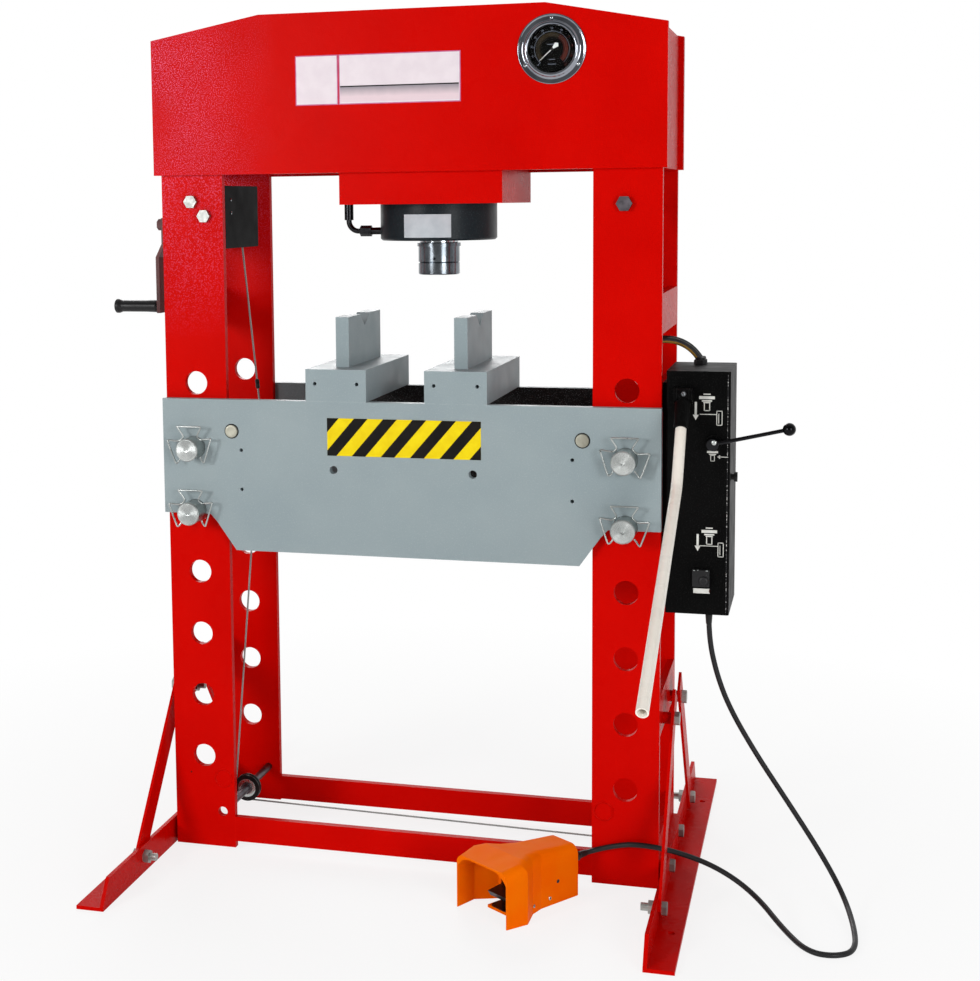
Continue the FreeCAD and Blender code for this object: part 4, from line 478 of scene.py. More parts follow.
class Shape:
    """Gathers mesh parts into one piece; each part may name its own paint."""

    def __init__(self, *paints):
        self.mesh = bmesh.new()
        self.paints = paints

    def add(self, corners, faces, spot, paint=0):
        made = [self.mesh.verts.new(spot @ Vector(corner)) for corner in corners]
        for face in faces:
            self.mesh.faces.new([made[i] for i in face]).material_index = paint

    def prism(self, spot, outline, depth, paint=0, start=0.0):
        """A flat outline raised from start to start + depth along the spot's +Z."""
        count = len(outline)
        corners = [(u, v, start) for u, v in outline] + [(u, v, start + depth) for u, v in outline]
        faces = [list(range(count))[::-1], list(range(count, 2 * count))]
        faces += [[i, (i + 1) % count, count + (i + 1) % count, count + i] for i in range(count)]
        self.add(corners, faces, spot, paint)

    def box(self, spot, width, height, depth, paint=0, start=0.0):
        u, v = width / 2, height / 2
        self.prism(spot, [(-u, -v), (u, -v), (u, v), (-u, v)], depth, paint, start)

    def lathe(self, spot, profile, steps=32, paint=0, arc=(0.0, 360.0)):
        """A profile of (radius, height) turned about the spot's Z."""
        whole = arc[1] - arc[0] >= 360
        angles = [math.radians(arc[0] + (arc[1] - arc[0]) * i / steps) for i in range(steps + (not whole))]
        rings = []
        for radius, height in profile:
            if radius < ON_AXIS:
                rings.append([self.mesh.verts.new(spot @ Vector((0, 0, height)))] * len(angles))
            else:
                rings.append([self.mesh.verts.new(spot @ Vector(polar(radius, angle, height)))
                              for angle in angles])
        for lower, upper in zip(rings, rings[1:]):
            for i in range(steps):
                j = (i + 1) % len(angles)
                corners = []
                for corner in (lower[i], lower[j], upper[j], upper[i]):
                    if corner not in corners:
                        corners.append(corner)
                if len(corners) > 2:
                    self.mesh.faces.new(corners).material_index = paint

    def strap(self, spot, radius, thick, low, high, start, end):
        """A thin plate bent round the spot's Z, between two heights and two angles."""
        rings = []
        for i in range(STRAP_STEPS + 1):
            angle = math.radians(start + (end - start) * i / STRAP_STEPS)
            cut = ((radius, low), (radius + thick, low), (radius + thick, high), (radius, high))
            rings.append([polar(reach, angle, height) for reach, height in cut])
        self.joined(rings, spot)

    def joined(self, rings, spot, closed=False):
        """Rings of corners joined into a bar: closed on itself, or by a face at each end."""
        count, last = len(rings[0]), len(rings) - 1
        faces = [] if closed else [list(range(count)), [count * last + k for k in reversed(range(count))]]
        for i in range(last + closed):
            after = ((i + 1) % len(rings) - i) * count
            for k in range(count):
                a, b = i * count + k, i * count + (k + 1) % count
                faces.append([a, b, b + after, a + after])
        self.add([corner for ring in rings for corner in ring], faces, spot)

    def hexagon(self, spot, across, depth, paint=0, start=0.0):
        """A hexagon head or nut, its corners dressed off."""
        radius = across / math.sqrt(3)
        rim = [polar(radius, math.radians(60 * i)) for i in range(6)]
        crown = [(u * HEX_CROWN, v * HEX_CROWN) for u, v in rim]
        self.prism(spot, rim, depth * HEX_BODY, paint, start)
        self.prism(spot, crown, depth * (1 - HEX_BODY), paint, start + depth * HEX_BODY)

    def screw(self, spot, radius, height, turn):
        """A low round screw head in the first paint, with a cross recess in the second."""
        dome = [(radius, 0), (radius, height * 0.45), (radius * 0.72, height * 0.85), (0, height)]
        self.lathe(spot, dome, 20)
        for angle in (turn, turn + 90):
            bar = spot @ Matrix.Rotation(math.radians(angle), 4, "Z")
            self.box(bar, radius * 1.1, radius * 0.32, height * 0.1, 1, height * 0.93)

    def words(self, spot, text, size, paint, depth):
        """Plain numbers, centred on the spot."""
        data = bpy.data.curves.new("words", "FONT")
        data.body = text
        data.size = size
        data.align_x = data.align_y = "CENTER"
        data.extrude = depth / 2
        data.resolution_u = 2
        holder = bpy.data.objects.new("words", data)
        flat = bpy.data.meshes.new_from_object(holder)
        flat.transform(spot @ Matrix.Translation((0, 0, depth / 2)))
        before = len(self.mesh.faces)
        self.mesh.from_mesh(flat)
        self.mesh.faces.ensure_lookup_table()
        for face in self.mesh.faces[before:]:
            face.material_index = paint
        bpy.data.meshes.remove(flat)
        bpy.data.objects.remove(holder)
        bpy.data.curves.remove(data)

    def piece(self, name, body, bevel=0.0, sharp=35.0):
        """Turn what was gathered into a piece that rides on a body."""
        bmesh.ops.recalc_face_normals(self.mesh, faces=self.mesh.faces)
        limit = math.radians(sharp)
        if bevel:
            corners = [edge for edge in self.mesh.edges if edge.calc_face_angle(0.0) > limit]
            bmesh.ops.bevel(self.mesh, geom=corners, offset=bevel, segments=2, affect="EDGES",
                            clamp_overlap=True)
        for face in self.mesh.faces:
            face.smooth = True
        for edge in self.mesh.edges:
            edge.smooth = edge.calc_face_angle(0.0) < limit
        data = bpy.data.meshes.new(name)
        self.mesh.to_mesh(data)
        self.mesh.free()
        for paint in self.paints:
            data.materials.append(paint)
        return settle(bpy.data.objects.new(name, data), body)


def settle(thing, body):
    """Link a finished piece, and say what it rides on."""
    SCENE.collection.objects.link(thing)
    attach(thing, body)
    return thing


def curve(name, points, radius, paint, body):
    """A smooth round wire or cable: one spline with these control points."""
    data = bpy.data.curves.new(name, "CURVE")
    data.dimensions = "3D"
    data.bevel_depth = radius
    data.bevel_resolution = 5
    data.use_fill_caps = True
    data.resolution_u = 10
    line = data.splines.new("NURBS")
    line.points.add(len(points) - 1)
    for point, place in zip(line.points, points):
        point.co = (*place, 1)
    line.order_u = 3
    line.use_endpoint_u = True
    data.materials.append(paint)
    return settle(bpy.data.objects.new(name, data), body)


# ---- foot pedal cable ----

CABLE_EXIT = (0.634, -0.100, 0.584)
CABLE_ROUTE = [
    CABLE_EXIT, (0.634, -0.100, 0.536), (0.650, -0.100, 0.460), (0.678, -0.100, 0.386),
    (0.733, -0.100, 0.292), (0.802, -0.101, 0.190), (0.868, -0.108, 0.092), (0.912, -0.146, 0.027),
    (0.934, -0.262, 0.008), (0.936, -0.364, 0.006), (0.899, -0.3975, 0.006), (0.849, -0.3915, 0.006),
    (0.805, -0.325, 0.011), (0.738, -0.210, 0.037), (0.661, -0.173, 0.070), (0.573, -0.177, 0.098),
    (0.490, -0.175, 0.104), (0.445, -0.1715, 0.093), (0.416, -0.1715, 0.084), (0.3944, -0.1830, 0.080),
    (0.3800, -0.2028, 0.080)]
CABLE_THICK = 0.011
PEDAL_WAY = Vector(polar(1, math.radians(54), 0))  # the way the pedal's back looks
PEDAL_BACK = Vector((0.3712, -0.2149, 0.080))
GLAND_NUT = (0.019, 0.006, 0, 0.004)  # across its flats, height, paint, start


def pedal_cable():
    """The cable from the pump box, over the floor and the right foot, to the pedal's back."""
    cable = curve("foot_cable", CABLE_ROUTE, CABLE_THICK / 2, RUBBER, "frame")
    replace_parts(cable, "pedal_cable")


GLAND_PROFILE = [
    (0, 0), (0.0105, 0), (0.0105, 0.004), (0.0085, 0.005), (0.0085, 0.011), (0.0078, 0.0135), (0.0066, 0.015),
    (0.0074, 0.016), (0.0072, 0.02), (0.0066, 0.028), (0.0062, 0.034), (0.0057, 0.036)]


def cable_glands():
    """A gland with a tapered sleeve at each end of the cable."""
    glands = Shape(PLASTIC)
    tilt = Vector((0, 0, 1)).rotation_difference(PEDAL_WAY).to_matrix().to_4x4()
    box_end = facing("under", CABLE_EXIT[0], CABLE_EXIT[1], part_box("cable_glands")[1].z)
    for spot in (box_end, Matrix.Translation(PEDAL_BACK) @ tilt):
        glands.lathe(spot, GLAND_PROFILE, 28)
        glands.hexagon(spot, *GLAND_NUT)
    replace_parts(glands.piece("cable_sleeves", "frame", 0.0003), "cable_glands")


# ---- head ----

HEAD_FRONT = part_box("head_front_plate")[0].y
NAME_LOW, NAME_HIGH = 1.646, 1.749
NAME_LEFT, NAME_SPLIT, NAME_RIGHT = -0.224, -0.130, 0.131
NAME_GAP, NAME_EDGE, NAME_THICK, FILM_THICK = 0.001, 0.0022, 0.0006, 0.0002
LINE_Z, LINE_HEIGHT, BAND_HEIGHT, LINE_SHORT = 1.683, 0.0026, 0.031, 0.0074
GLAND_PLATE_THICK, GLAND_PLATE_HEIGHTS, GLAND_PLATE_ANGLES = 0.0006, (1.367, 1.416), (-112, -65)


def name_plate():
    """The bare two-part plate on the head, with a dark line and a fading band in its right part."""
    plate = Shape(PALE, BORDER, FADED, INK_AND_SHADE)
    height = NAME_HIGH - NAME_LOW
    for start, end in ((NAME_LEFT, NAME_SPLIT - NAME_GAP), (NAME_SPLIT + NAME_GAP, NAME_RIGHT)):
        spot = facing("front", (start + end) / 2, HEAD_FRONT, (NAME_LOW + NAME_HIGH) / 2)
        plate.box(spot, end - start, height, NAME_THICK, 1)
        plate.box(spot, end - start - 2 * NAME_EDGE, height - 2 * NAME_EDGE, FILM_THICK, 0, NAME_THICK)
    middle, width = (NAME_SPLIT + NAME_RIGHT) / 2, NAME_RIGHT - NAME_SPLIT - LINE_SHORT
    face = HEAD_FRONT - NAME_THICK - FILM_THICK
    band_z = LINE_Z - LINE_HEIGHT / 2 - BAND_HEIGHT / 2
    plate.box(facing("front", middle, face, LINE_Z), width, LINE_HEIGHT, FILM_THICK, 3)
    plate.box(facing("front", middle, face, band_z), width, BAND_HEIGHT, FILM_THICK / 2, 2)
    plate.piece("bare_name_plate", "frame")


def gland_plate():
    """The bare metal plate bent round the cylinder's lower ring."""
    low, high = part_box("cylinder_gland")
    plate = Shape(SILVER)
    spot = Matrix.Translation(((low.x + high.x) / 2, (low.y + high.y) / 2, 0))
    plate.strap(spot, (high.x - low.x) / 2, GLAND_PLATE_THICK, *GLAND_PLATE_HEIGHTS, *GLAND_PLATE_ANGLES)
    plate.piece("bare_gland_plate", "frame", 0.0002)


GAUGE_CENTRE = (0.3185, 1.745)
DIAL_Y = -0.1770
RIM_PROFILE = [                     # a flat flange with a rolled edge, then the ring round the glass
    (0.0700, 0), (0.0700, 0.0020), (0.0694, 0.0028), (0.0682, 0.0030), (0.0668, 0.0024), (0.0655, 0.0020),
    (0.0600, 0.0020), (0.0578, 0.0026), (0.0560, 0.0044), (0.0545, 0.0066), (0.0525, 0.0079),
    (0.0508, 0.0080), (0.0492, 0.0074), (0.0480, 0.0060), (0.0475, 0.0044), (0.0474, 0), (0.0700, 0)]
FLANGE_HEIGHT, FLANGE_SCREWS, FLANGE_SCREW_RADIUS = 0.0020, (90, 210, 330), 0.062
FLANGE_SCREW = (0.0036, 0.0022)     # a screw head's radius and height
DIAL_PROFILE = [(0, 0.0003), (0.0469, 0.0003), (0.0469, -0.0002), (0, -0.0002)]
SCALE_START, SCALE_END, RED_FROM = 228, -48, 60
SCALE_STEPS, STEPS_A_NUMBER = 50, 5
SCALE_LINE, NUMBERS_RADIUS, NUMBERS_SIZE = 0.0352, 0.0415, 0.0052
PRINT_LEVEL, PRINT_THICK = 0.0004, 0.0001
INNER_BANDS = ((0.0256, 0.0330), (0.0236, 0.0244))
SMALL_LINES = ((0.020, 0.0095), (0.013, -0.0205), (0.017, -0.0300))
POINTER_ANGLE = 222
POINTER_BLADE = [(-0.002, -0.0009), (0.034, -0.0003), (0.034, 0.0003), (-0.002, 0.0009)]
POINTER_TAIL = [(-0.0015, -0.0012), (-0.0015, 0.0012), (-0.0130, 0.0052), (-0.0172, 0), (-0.0130, -0.0052)]
POINTER_THICK = 0.0005
POINTER_PIN = [(0, 0), (0.0015, 0), (0.0015, 0.0046), (0, 0.0048)]
POINTER_HUB = [(0.0030, 0), (0.0030, 0.0005), (0, 0.0009)]


def gauge_bezel():
    """The gauge's chromed rim."""
    x, z = GAUGE_CENTRE
    rim = Shape(RIM)
    rim.lathe(facing("front", x, HEAD_FRONT, z), RIM_PROFILE, 96)
    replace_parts(rim.piece("gauge_rim", "frame", sharp=50), "gauge_bezel")


def gauge_face():
    """The gauge's dial with two ringed scales, its pointer and its rim's screws."""
    x, z = GAUGE_CENTRE
    face = Shape(DIAL_BLACK, DIAL_INK, BRASS_INK, RED_INK)
    spot = facing("front", x, DIAL_Y, z)
    face.lathe(spot, DIAL_PROFILE, 64)
    for inner, outer in INNER_BANDS:
        face.lathe(spot, [(inner, PRINT_LEVEL), (outer, PRINT_LEVEL)], 48, 2, (RED_FROM, SCALE_START))
        face.lathe(spot, [(inner, PRINT_LEVEL), (outer, PRINT_LEVEL)], 32, 3, (SCALE_END, RED_FROM))
    face.lathe(spot, [(SCALE_LINE, PRINT_LEVEL), (SCALE_LINE + 0.0004, PRINT_LEVEL)], 64, 1,
               (SCALE_END, SCALE_START))

    def tick(turned, start, end, half, ink):
        face.prism(turned, [(start, -half), (end, -half), (end, half), (start, half)], PRINT_THICK, ink,
                   PRINT_LEVEL)

    for i in range(SCALE_STEPS + 1):
        angle = SCALE_START + (SCALE_END - SCALE_START) * i / SCALE_STEPS
        long = i % STEPS_A_NUMBER == 0
        turned = spot @ Matrix.Rotation(math.radians(angle), 4, "Z")
        half = 0.0004 if long else 0.0002
        ink = 3 if angle < RED_FROM else 1
        tick(turned, SCALE_LINE + 0.0002, 0.0382 if long else 0.0368, half, ink)
        if i % 2 == 0:
            tick(turned, 0.0262, 0.0325, half, 0)
        if long:
            at = turned @ Matrix.Translation((NUMBERS_RADIUS, 0, PRINT_LEVEL))
            at = at @ Matrix.Rotation(math.radians(-90), 4, "Z")
            face.words(at, str(i * 2), NUMBERS_SIZE, ink, PRINT_THICK)
    for width, height in SMALL_LINES:
        face.box(spot @ Matrix.Translation((0, height, 0.0003)), width, 0.0009, PRINT_THICK, 1)
    face.piece("gauge_dial", "frame")
    pointer = Shape(WHITE, CASE)
    hub = facing("front", x, DIAL_Y - 0.0010, z) @ Matrix.Rotation(math.radians(POINTER_ANGLE), 4, "Z")
    pointer.prism(hub, POINTER_BLADE, POINTER_THICK)
    pointer.prism(hub, POINTER_TAIL, POINTER_THICK)
    pointer.lathe(facing("front", x, DIAL_Y + 0.0030, z), POINTER_PIN, 20, 1)
    pointer.lathe(facing("front", x, DIAL_Y - 0.0015, z), POINTER_HUB, 24, 1)
    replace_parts(pointer.piece("gauge_pointer", "needle"), "gauge_needle")
    screws = Shape(CHROME, CASE)
    for angle in FLANGE_SCREWS:
        across, up = polar(FLANGE_SCREW_RADIUS, math.radians(angle))
        at = facing("front", x + across, HEAD_FRONT - FLANGE_HEIGHT, z + up)
        screws.screw(at, *FLANGE_SCREW, angle * 0.4)
    screws.piece("gauge_screws", "frame")


# ---- bed ----

BED_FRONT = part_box("bed_front_plate")[0].y
STRIP_LEFT, STRIP_RIGHT, STRIP_LOW, STRIP_HIGH = -0.165, 0.170, 0.905, 0.986
STRIPES, STRIPE_PITCH, STRIPE_WIDE, STRIPE_SLANT, STRIPE_START = 7, 0.064, 0.030, 0.070, -0.0038


def hazard_strip():
    """The yellow strip with slanting black stripes on the bed."""
    width, height = STRIP_RIGHT - STRIP_LEFT, STRIP_HIGH - STRIP_LOW
    strip = Shape(YELLOW, INK_AND_SHADE)
    spot = facing("front", STRIP_LEFT, BED_FRONT, STRIP_LOW)
    strip.prism(spot, [(0, 0), (width, 0), (width, height), (0, height)], 0.0005)
    for i in range(STRIPES):
        start = STRIPE_START + STRIPE_PITCH * i - STRIPE_SLANT
        end = start + STRIPE_WIDE
        stripe = [(start, 0), (end, 0), (end + STRIPE_SLANT, height), (start + STRIPE_SLANT, height)]
        outline = clipped(clipped(stripe, 0, 1), width, -1)
        if len(outline) > 2:
            strip.prism(spot, outline, 0.0002, 1, 0.0005)
    strip.piece("hazard_strip", "frame")


def clipped(outline, limit, side):
    """The part of an outline whose first coordinate is over the limit (side 1) or under it (side -1)."""
    kept = []
    for (u0, v0), (u1, v1) in zip(outline, outline[1:] + outline[:1]):
        inside0, inside1 = (u0 - limit) * side >= 0, (u1 - limit) * side >= 0
        if inside0:
            kept.append((u0, v0))
        if inside0 != inside1:
            share = (limit - u0) / (u1 - u0)
            kept.append((limit, v0 + (v1 - v0) * share))
    return kept


CLIP_RADIUS = 0.0019
CLIP_WIRE = [                       # from the pin's middle, right and up
    (-0.0215, -0.0175), (-0.0235, -0.0235), (-0.0290, -0.0290), (-0.0318, -0.0290), (-0.0335, -0.0250),
    (-0.0475, 0.0190), (-0.0490, 0.0225), (-0.0465, 0.0235), (-0.0290, 0.0205), (-0.0235, 0.0195),
    (-0.0160, 0.0245), (-0.0150, 0.0290), (-0.0255, 0.0460), (-0.0265, 0.0485), (-0.0235, 0.0488),
    (0.0255, 0.0488), (0.0295, 0.0485), (0.0280, 0.0460), (0.0165, 0.0290), (0.0170, 0.0240),
    (0.0245, 0.0175), (0.0300, 0.0160), (0.0490, 0.0185), (0.0520, 0.0170), (0.0510, 0.0140),
    (0.0350, -0.0290), (0.0330, -0.0325), (0.0300, -0.0305), (0.0240, -0.0215), (0.0205, -0.0185)]
CLIP_FORWARD = [                    # millimetres before the wire's own ends
    0, 0, 2, 4, 5, 5, 4, 3, 1, 0, 0, 1, 4, 6, 6, 6, 6, 4, 1, 0, 0, 1, 4, 5, 5, 5, 4, 2, 0, 0]
PIN_RINGS = [
    (0.0215, -0.0002), (0.0215, 0.0003), (0.0140, 0.0005), (0.0138, 0.0003), (0.0070, 0.0005),
    (0.0068, 0.0003), (0.0014, 0.0004), (0, -0.0004)]


def pin_clips():
    """The bent wire clip round each bed pin, and the turned rings on the pin's end."""
    for side in ("left", "right"):
        for row in ("upper", "lower"):
            name = side + "_" + row
            low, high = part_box(name + "_pin")
            x, z = (low.x + high.x) / 2, (low.z + high.z) / 2
            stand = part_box(name + "_clip")[1].y
            mirror = -1 if side == "left" else 1
            points = [(x + u * mirror, stand - 0.001 * out, z + v)
                      for (u, v), out in zip(CLIP_WIRE, CLIP_FORWARD)]
            clip = curve(name + "_wire_clip", points, CLIP_RADIUS, ZINC, name + "_pin")
            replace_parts(clip, name + "_clip")
            rings = Shape(TURNED)
            rings.lathe(facing("front", x, low.y, z), PIN_RINGS, 48)
            rings.piece(name + "_pin_end", name + "_pin")


def lift_bar_ends():
    """The pale cropped ends of the lift bars, each ringed by a flat black ring of painted shade where the
    hole's gap lies in shadow.
    """
    bars = Shape(PALE_STEEL, INK_AND_SHADE)
    low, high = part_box("bed_lift_bars")
    radius = (high.z - low.z) / 2
    middle = (high.z + low.z) / 2
    crown = [
        (0, 0.0004), (radius * 0.55, 0.0005), (radius * 0.8, 0.0008), (radius * 0.94, 0.0004),
        (radius + 0.0002, -0.0010), (radius + 0.0002, -0.0030)]
    inner, outer, thick = radius + 0.0003, radius + 0.0022, 0.0003
    # a flat black ring on the plate: painted shade in the gap round each bar
    shade_ring = [(inner, 0), (inner, thick), (outer, thick), (outer, 0), (inner, 0)]
    for x in (low.x + radius, high.x - radius):
        for side, end, plate in (("front", low.y, BED_FRONT), ("back", high.y, -BED_FRONT)):
            bars.lathe(facing(side, x, end, middle), crown, 40)
            bars.lathe(facing(side, x, plate, middle), shade_ring, 40, 1)
    bars.piece("lift_bar_ends", "frame")


# ---- column details ----

COLUMN_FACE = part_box("left_column_front_plate")[0].y
WELD_X, WELD_Z, WELD_RADIUS = 0.425, 0.1647, 0.0195
WELD_STEPS, WELD_LUMPS, WELD_WAVES = 72, 18, 5
DARK_MARK_X, DARK_MARK_Z = -0.5024, 0.173
DARK_MARK = [(0.0021, 0.0004), (0.0008, 0.0020), (-0.0016, 0.0015), (-0.0019, -0.0009), (0.0003, -0.0021)]


def weld_ring(swell):
    """One cut through the weld, as (radius, height) pairs; swell makes it wider and higher."""
    return [(WELD_RADIUS - 0.0026, 0), (WELD_RADIUS - 0.0014, 0.0019 + swell),
            (WELD_RADIUS + swell, 0.0027 + swell), (WELD_RADIUS + 0.0014, 0.0018 + swell),
            (WELD_RADIUS + 0.0028, 0)]


def axle_welds():
    """The lumpy weld round each lower axle's end, under the paint, and a small dark mark on the left column.
    """
    welds = Shape(RED, INK_AND_SHADE)
    for x in (-WELD_X, WELD_X):
        rings = []
        for i in range(WELD_STEPS):
            angle = 2 * math.pi * i / WELD_STEPS
            swell = 0.0003 * math.sin(WELD_LUMPS * angle) + 0.0002 * math.sin(WELD_WAVES * angle)
            rings.append([polar(reach, angle, height) for reach, height in weld_ring(swell)])
        welds.joined(rings, facing("front", x, COLUMN_FACE, WELD_Z), closed=True)
    # a small dark mark on the column's face
    welds.prism(facing("front", DARK_MARK_X, COLUMN_FACE, DARK_MARK_Z), DARK_MARK, 0.0001, 1)
    welds.piece("axle_welds", "frame")


DISC_PROFILE = [(0.0132, 0), (0.0132, 0.0007), (0.0205, 0.0007), (0.0212, 0.0003), (0.0212, 0), (0.0132, 0)]


def sheave_discs():
    """The bright turned disc on both sides of each sheave."""
    for name in ("lower_left_sheave", "lower_right_sheave", "upper_right_sheave"):
        low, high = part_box(name)
        middle = (low + high) / 2
        discs = Shape(TURNED)
        for side, y in (("front", low.y), ("back", high.y)):
            discs.lathe(facing(side, middle.x, y, middle.z), DISC_PROFILE, 48)
        discs.piece(name + "_discs", name)


COVER_EDGE, COVER_THICK = 0.0016, 0.0010
WINCH_SCREWS, WINCH_SCREW = ((-0.1108, 1.4519), (-0.1094, 1.4236)), (0.0034, 0.0018)
SPLICE_AT, SPLICE_LEAN = (-0.3901, 0.011, 1.036), math.radians(-5.5)
SPLICE_PROFILE = [
    (0.0019, -0.0120), (0.0046, -0.0110), (0.0048, -0.0030), (0.0040, -0.0015), (0.0048, 0),
    (0.0046, 0.0090), (0.0019, 0.0100)]


def winch_details():
    """The plate over the winch's shaft ends, its screws, and the dark splice on the wire's lower end."""
    low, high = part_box("winch_housing")
    middle = (low + high) / 2
    cover = Shape(HOUSING)
    cover.box(facing("right", high.x, middle.y, middle.z), high.y - low.y - 2 * COVER_EDGE,
              high.z - low.z - 2 * COVER_EDGE, COVER_THICK)
    cover.piece("winch_cover", "frame", 0.0003)
    screws = Shape(CHROME, CASE)
    for y, z in WINCH_SCREWS:
        screws.screw(facing("right", high.x + COVER_THICK, y, z), *WINCH_SCREW, 20)
    screws.piece("winch_screws", "frame")
    splice = Shape(CASE)
    lean = Matrix.Rotation(SPLICE_LEAN, 4, "Y")
    splice.lathe(Matrix.Translation(SPLICE_AT) @ lean, SPLICE_PROFILE, 20)
    splice.piece("wire_splice", "frame")


# ---- pump box ----

BOX_FRONT = -0.168
MARK_THICK = 0.0003


def on_box(x, z, before=0.0):
    return facing("front", x, BOX_FRONT - before, z)


def box_marks():
    """Plain arrows and outline pictures on the pump box's front: x and z in metres."""
    marks = Shape(MARKS)

    def bar(x0, z0, x1, z1):
        marks.box(on_box((x0 + x1) / 2, (z0 + z1) / 2), x1 - x0, z1 - z0, MARK_THICK)

    def arrow(x, top, low):
        bar(x - 0.0022, low + 0.010, x + 0.0022, top)
        marks.prism(on_box(x, low), [(0, 0), (0.006, 0.011), (-0.006, 0.011)], MARK_THICK)

    def cylinder(x, top, scale):
        for half, start, end in ((0.0155, 0.0, 0.006), (0.010, 0.008, 0.011), (0.007, 0.012, 0.014)):
            bar(x - half * scale, top - end * scale, x + half * scale, top - start * scale)
        for edge in (-0.006, 0.0045):
            bar(x + edge * scale, top - 0.030 * scale, x + (edge + 0.0018) * scale, top - 0.013 * scale)
        bar(x - 0.006 * scale, top - 0.030 * scale, x + 0.006 * scale, top - 0.0285 * scale)

    def handle(x, top, reach):
        low = top - 0.030
        for edge in (x, x + 0.0105):
            bar(edge, low, edge + 0.0014, top)
        for level in (low, top - 0.0014):
            bar(x, level, x + 0.0119, level + 0.0014)
        bar(x + 0.004, low + 0.004, x + 0.0052, top - 0.006)
        bar(x - reach, top - 0.0085, x, top - 0.0071)

    arrow(0.609, 1.035, 0.998)
    cylinder(0.631, 1.047, 1.0)
    handle(0.650, 1.018, 0.033)
    cylinder(0.643, 0.936, 0.7)
    bar(0.653, 0.9235, 0.674, 0.9250)
    marks.prism(on_box(0.652, 0.9242), [(0, 0), (0.006, -0.004), (0.006, 0.004)], MARK_THICK)
    arrow(0.615, 0.765, 0.730)
    cylinder(0.638, 0.774, 1.0)
    handle(0.655, 0.749, 0.036)
    for x, z in ((0.631, 1.051), (0.638, 0.778)):
        marks.box(on_box(x, z), 0.014, 0.0022, MARK_THICK)
    marks.piece("box_marks", "frame")


FOLD_BACK, FOLD_WIDE, FOLD_SHORT = 0.0055, 0.0011, 0.012
LATCHES = ((0.6095, 0.6925, 0.0030), (0.6170, 0.6932, 0.0015), (0.6350, 0.6925, 0.0042))
SOCKET_AT = (0.6285, 0.6710)
SOCKET_PROFILE = [
    (0.0095, 0), (0.0095, 0.0020), (0.0085, 0.0036), (0.0060, 0.0044), (0.0058, 0.0036), (0.0030, 0.0034),
    (0, 0.0034)]
LABEL_AT, LABEL_SIZE = (0.6235, 0.6475), (0.0330, 0.0100, 0.0004)
LABEL_BAR_AT, LABEL_BAR_SIZE = (0.6395, 0.6480), (0.0016, 0.0070, 0.0001)
HOSE_UNION_X, HOSE_UNIONS = 0.604, (-0.008, 0.016)
NUT_WIDE, NUT_HIGH = 0.0225, 0.0085
COLLAR_PROFILE = [(0.0096, 0.0085), (0.0104, 0.0095), (0.0104, 0.0120), (0.0096, 0.0128)]


def box_details():
    """The worn fold at the box's front edge, the socket's latches and blank label, and the hose nuts."""
    low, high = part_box("pump_box")
    seam = Shape(SEAM)
    spot = on_box(high.x - FOLD_BACK, (low.z + high.z) / 2)
    seam.box(spot, FOLD_WIDE, high.z - low.z - FOLD_SHORT, 0.0002)
    seam.piece("box_fold", "frame")
    socket = Shape(ZINC, MARKS, RED_INK, PLASTIC)
    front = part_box("box_fittings")[0].y
    for x, z, wide in LATCHES:
        socket.box(facing("front", x, front, z), wide, 0.0016, 0.0006)
    socket.lathe(facing("front", SOCKET_AT[0], front, SOCKET_AT[1]), SOCKET_PROFILE, 32, 3)
    socket.box(on_box(*LABEL_AT), *LABEL_SIZE, 1)
    socket.box(on_box(*LABEL_BAR_AT, LABEL_SIZE[2]), *LABEL_BAR_SIZE, 2)
    socket.piece("socket_fittings", "frame")
    nuts = Shape(CASE)
    for y in HOSE_UNIONS:
        spot = facing("top", HOSE_UNION_X, y, high.z)
        nuts.hexagon(spot, NUT_WIDE, NUT_HIGH)
        nuts.lathe(spot, COLLAR_PROFILE, 32)
    nuts.piece("hose_nuts", "frame")


CAP_PROFILE = [(0.0048, 0), (0.0046, 0.0010), (0.0032, 0.0017), (0, 0.0019)]
NIPPLE_PROFILE = [(0.0030, 0.0030), (0.0022, 0.0042), (0.0026, 0.0056), (0.0018, 0.0068), (0, 0.0070)]
BEFORE_HUB, BEFORE_EYE = (0.648, -0.5, 0.957), (0.588, -0.5, 1.0545)


def lever_details():
    """The cap on the valve lever's hub and the grease nipple on the pump handle's eye."""
    cap = Shape(ZINC)
    cap.lathe(seat("valve_lever", BEFORE_HUB, (0, 1, 0)), CAP_PROFILE, 28)
    cap.piece("lever_cap", "valve_lever")
    nipple = Shape(CHROME)
    spot = seat("pump_socket", BEFORE_EYE, (0, 1, 0))
    nipple.hexagon(spot, 0.0090, 0.0030)
    nipple.lathe(spot, NIPPLE_PROFILE, 20)
    nipple.piece("grease_nipple", "pump_handle")


# ---- foot pedal ----

PEDAL_ORIGIN = Vector((0.2085, -0.381, 0))
LIP_HEIGHT = 0.006
PAD_START, PAD_END, PAD_HALF, PAD_CORNER, PAD_THICK = 0.0462, 0.118, 0.030, 0.016, 0.001
BEFORE_HOOD, HOOD_WAY = ((0.420, -0.351, 0.016), (0.399, -0.400, 0.016)), (-0.809, 0.588, 0)
PEDAL_SCREW = (0.0036, 0.0020)


def pedal_screws():
    """The two small screws low on the side of the pedal's hood."""
    screws = Shape(ZINC, CASE)
    for start in BEFORE_HOOD:
        screws.screw(seat("pedal_hood", start, HOOD_WAY), *PEDAL_SCREW, 30)
    screws.piece("pedal_screws", "frame")


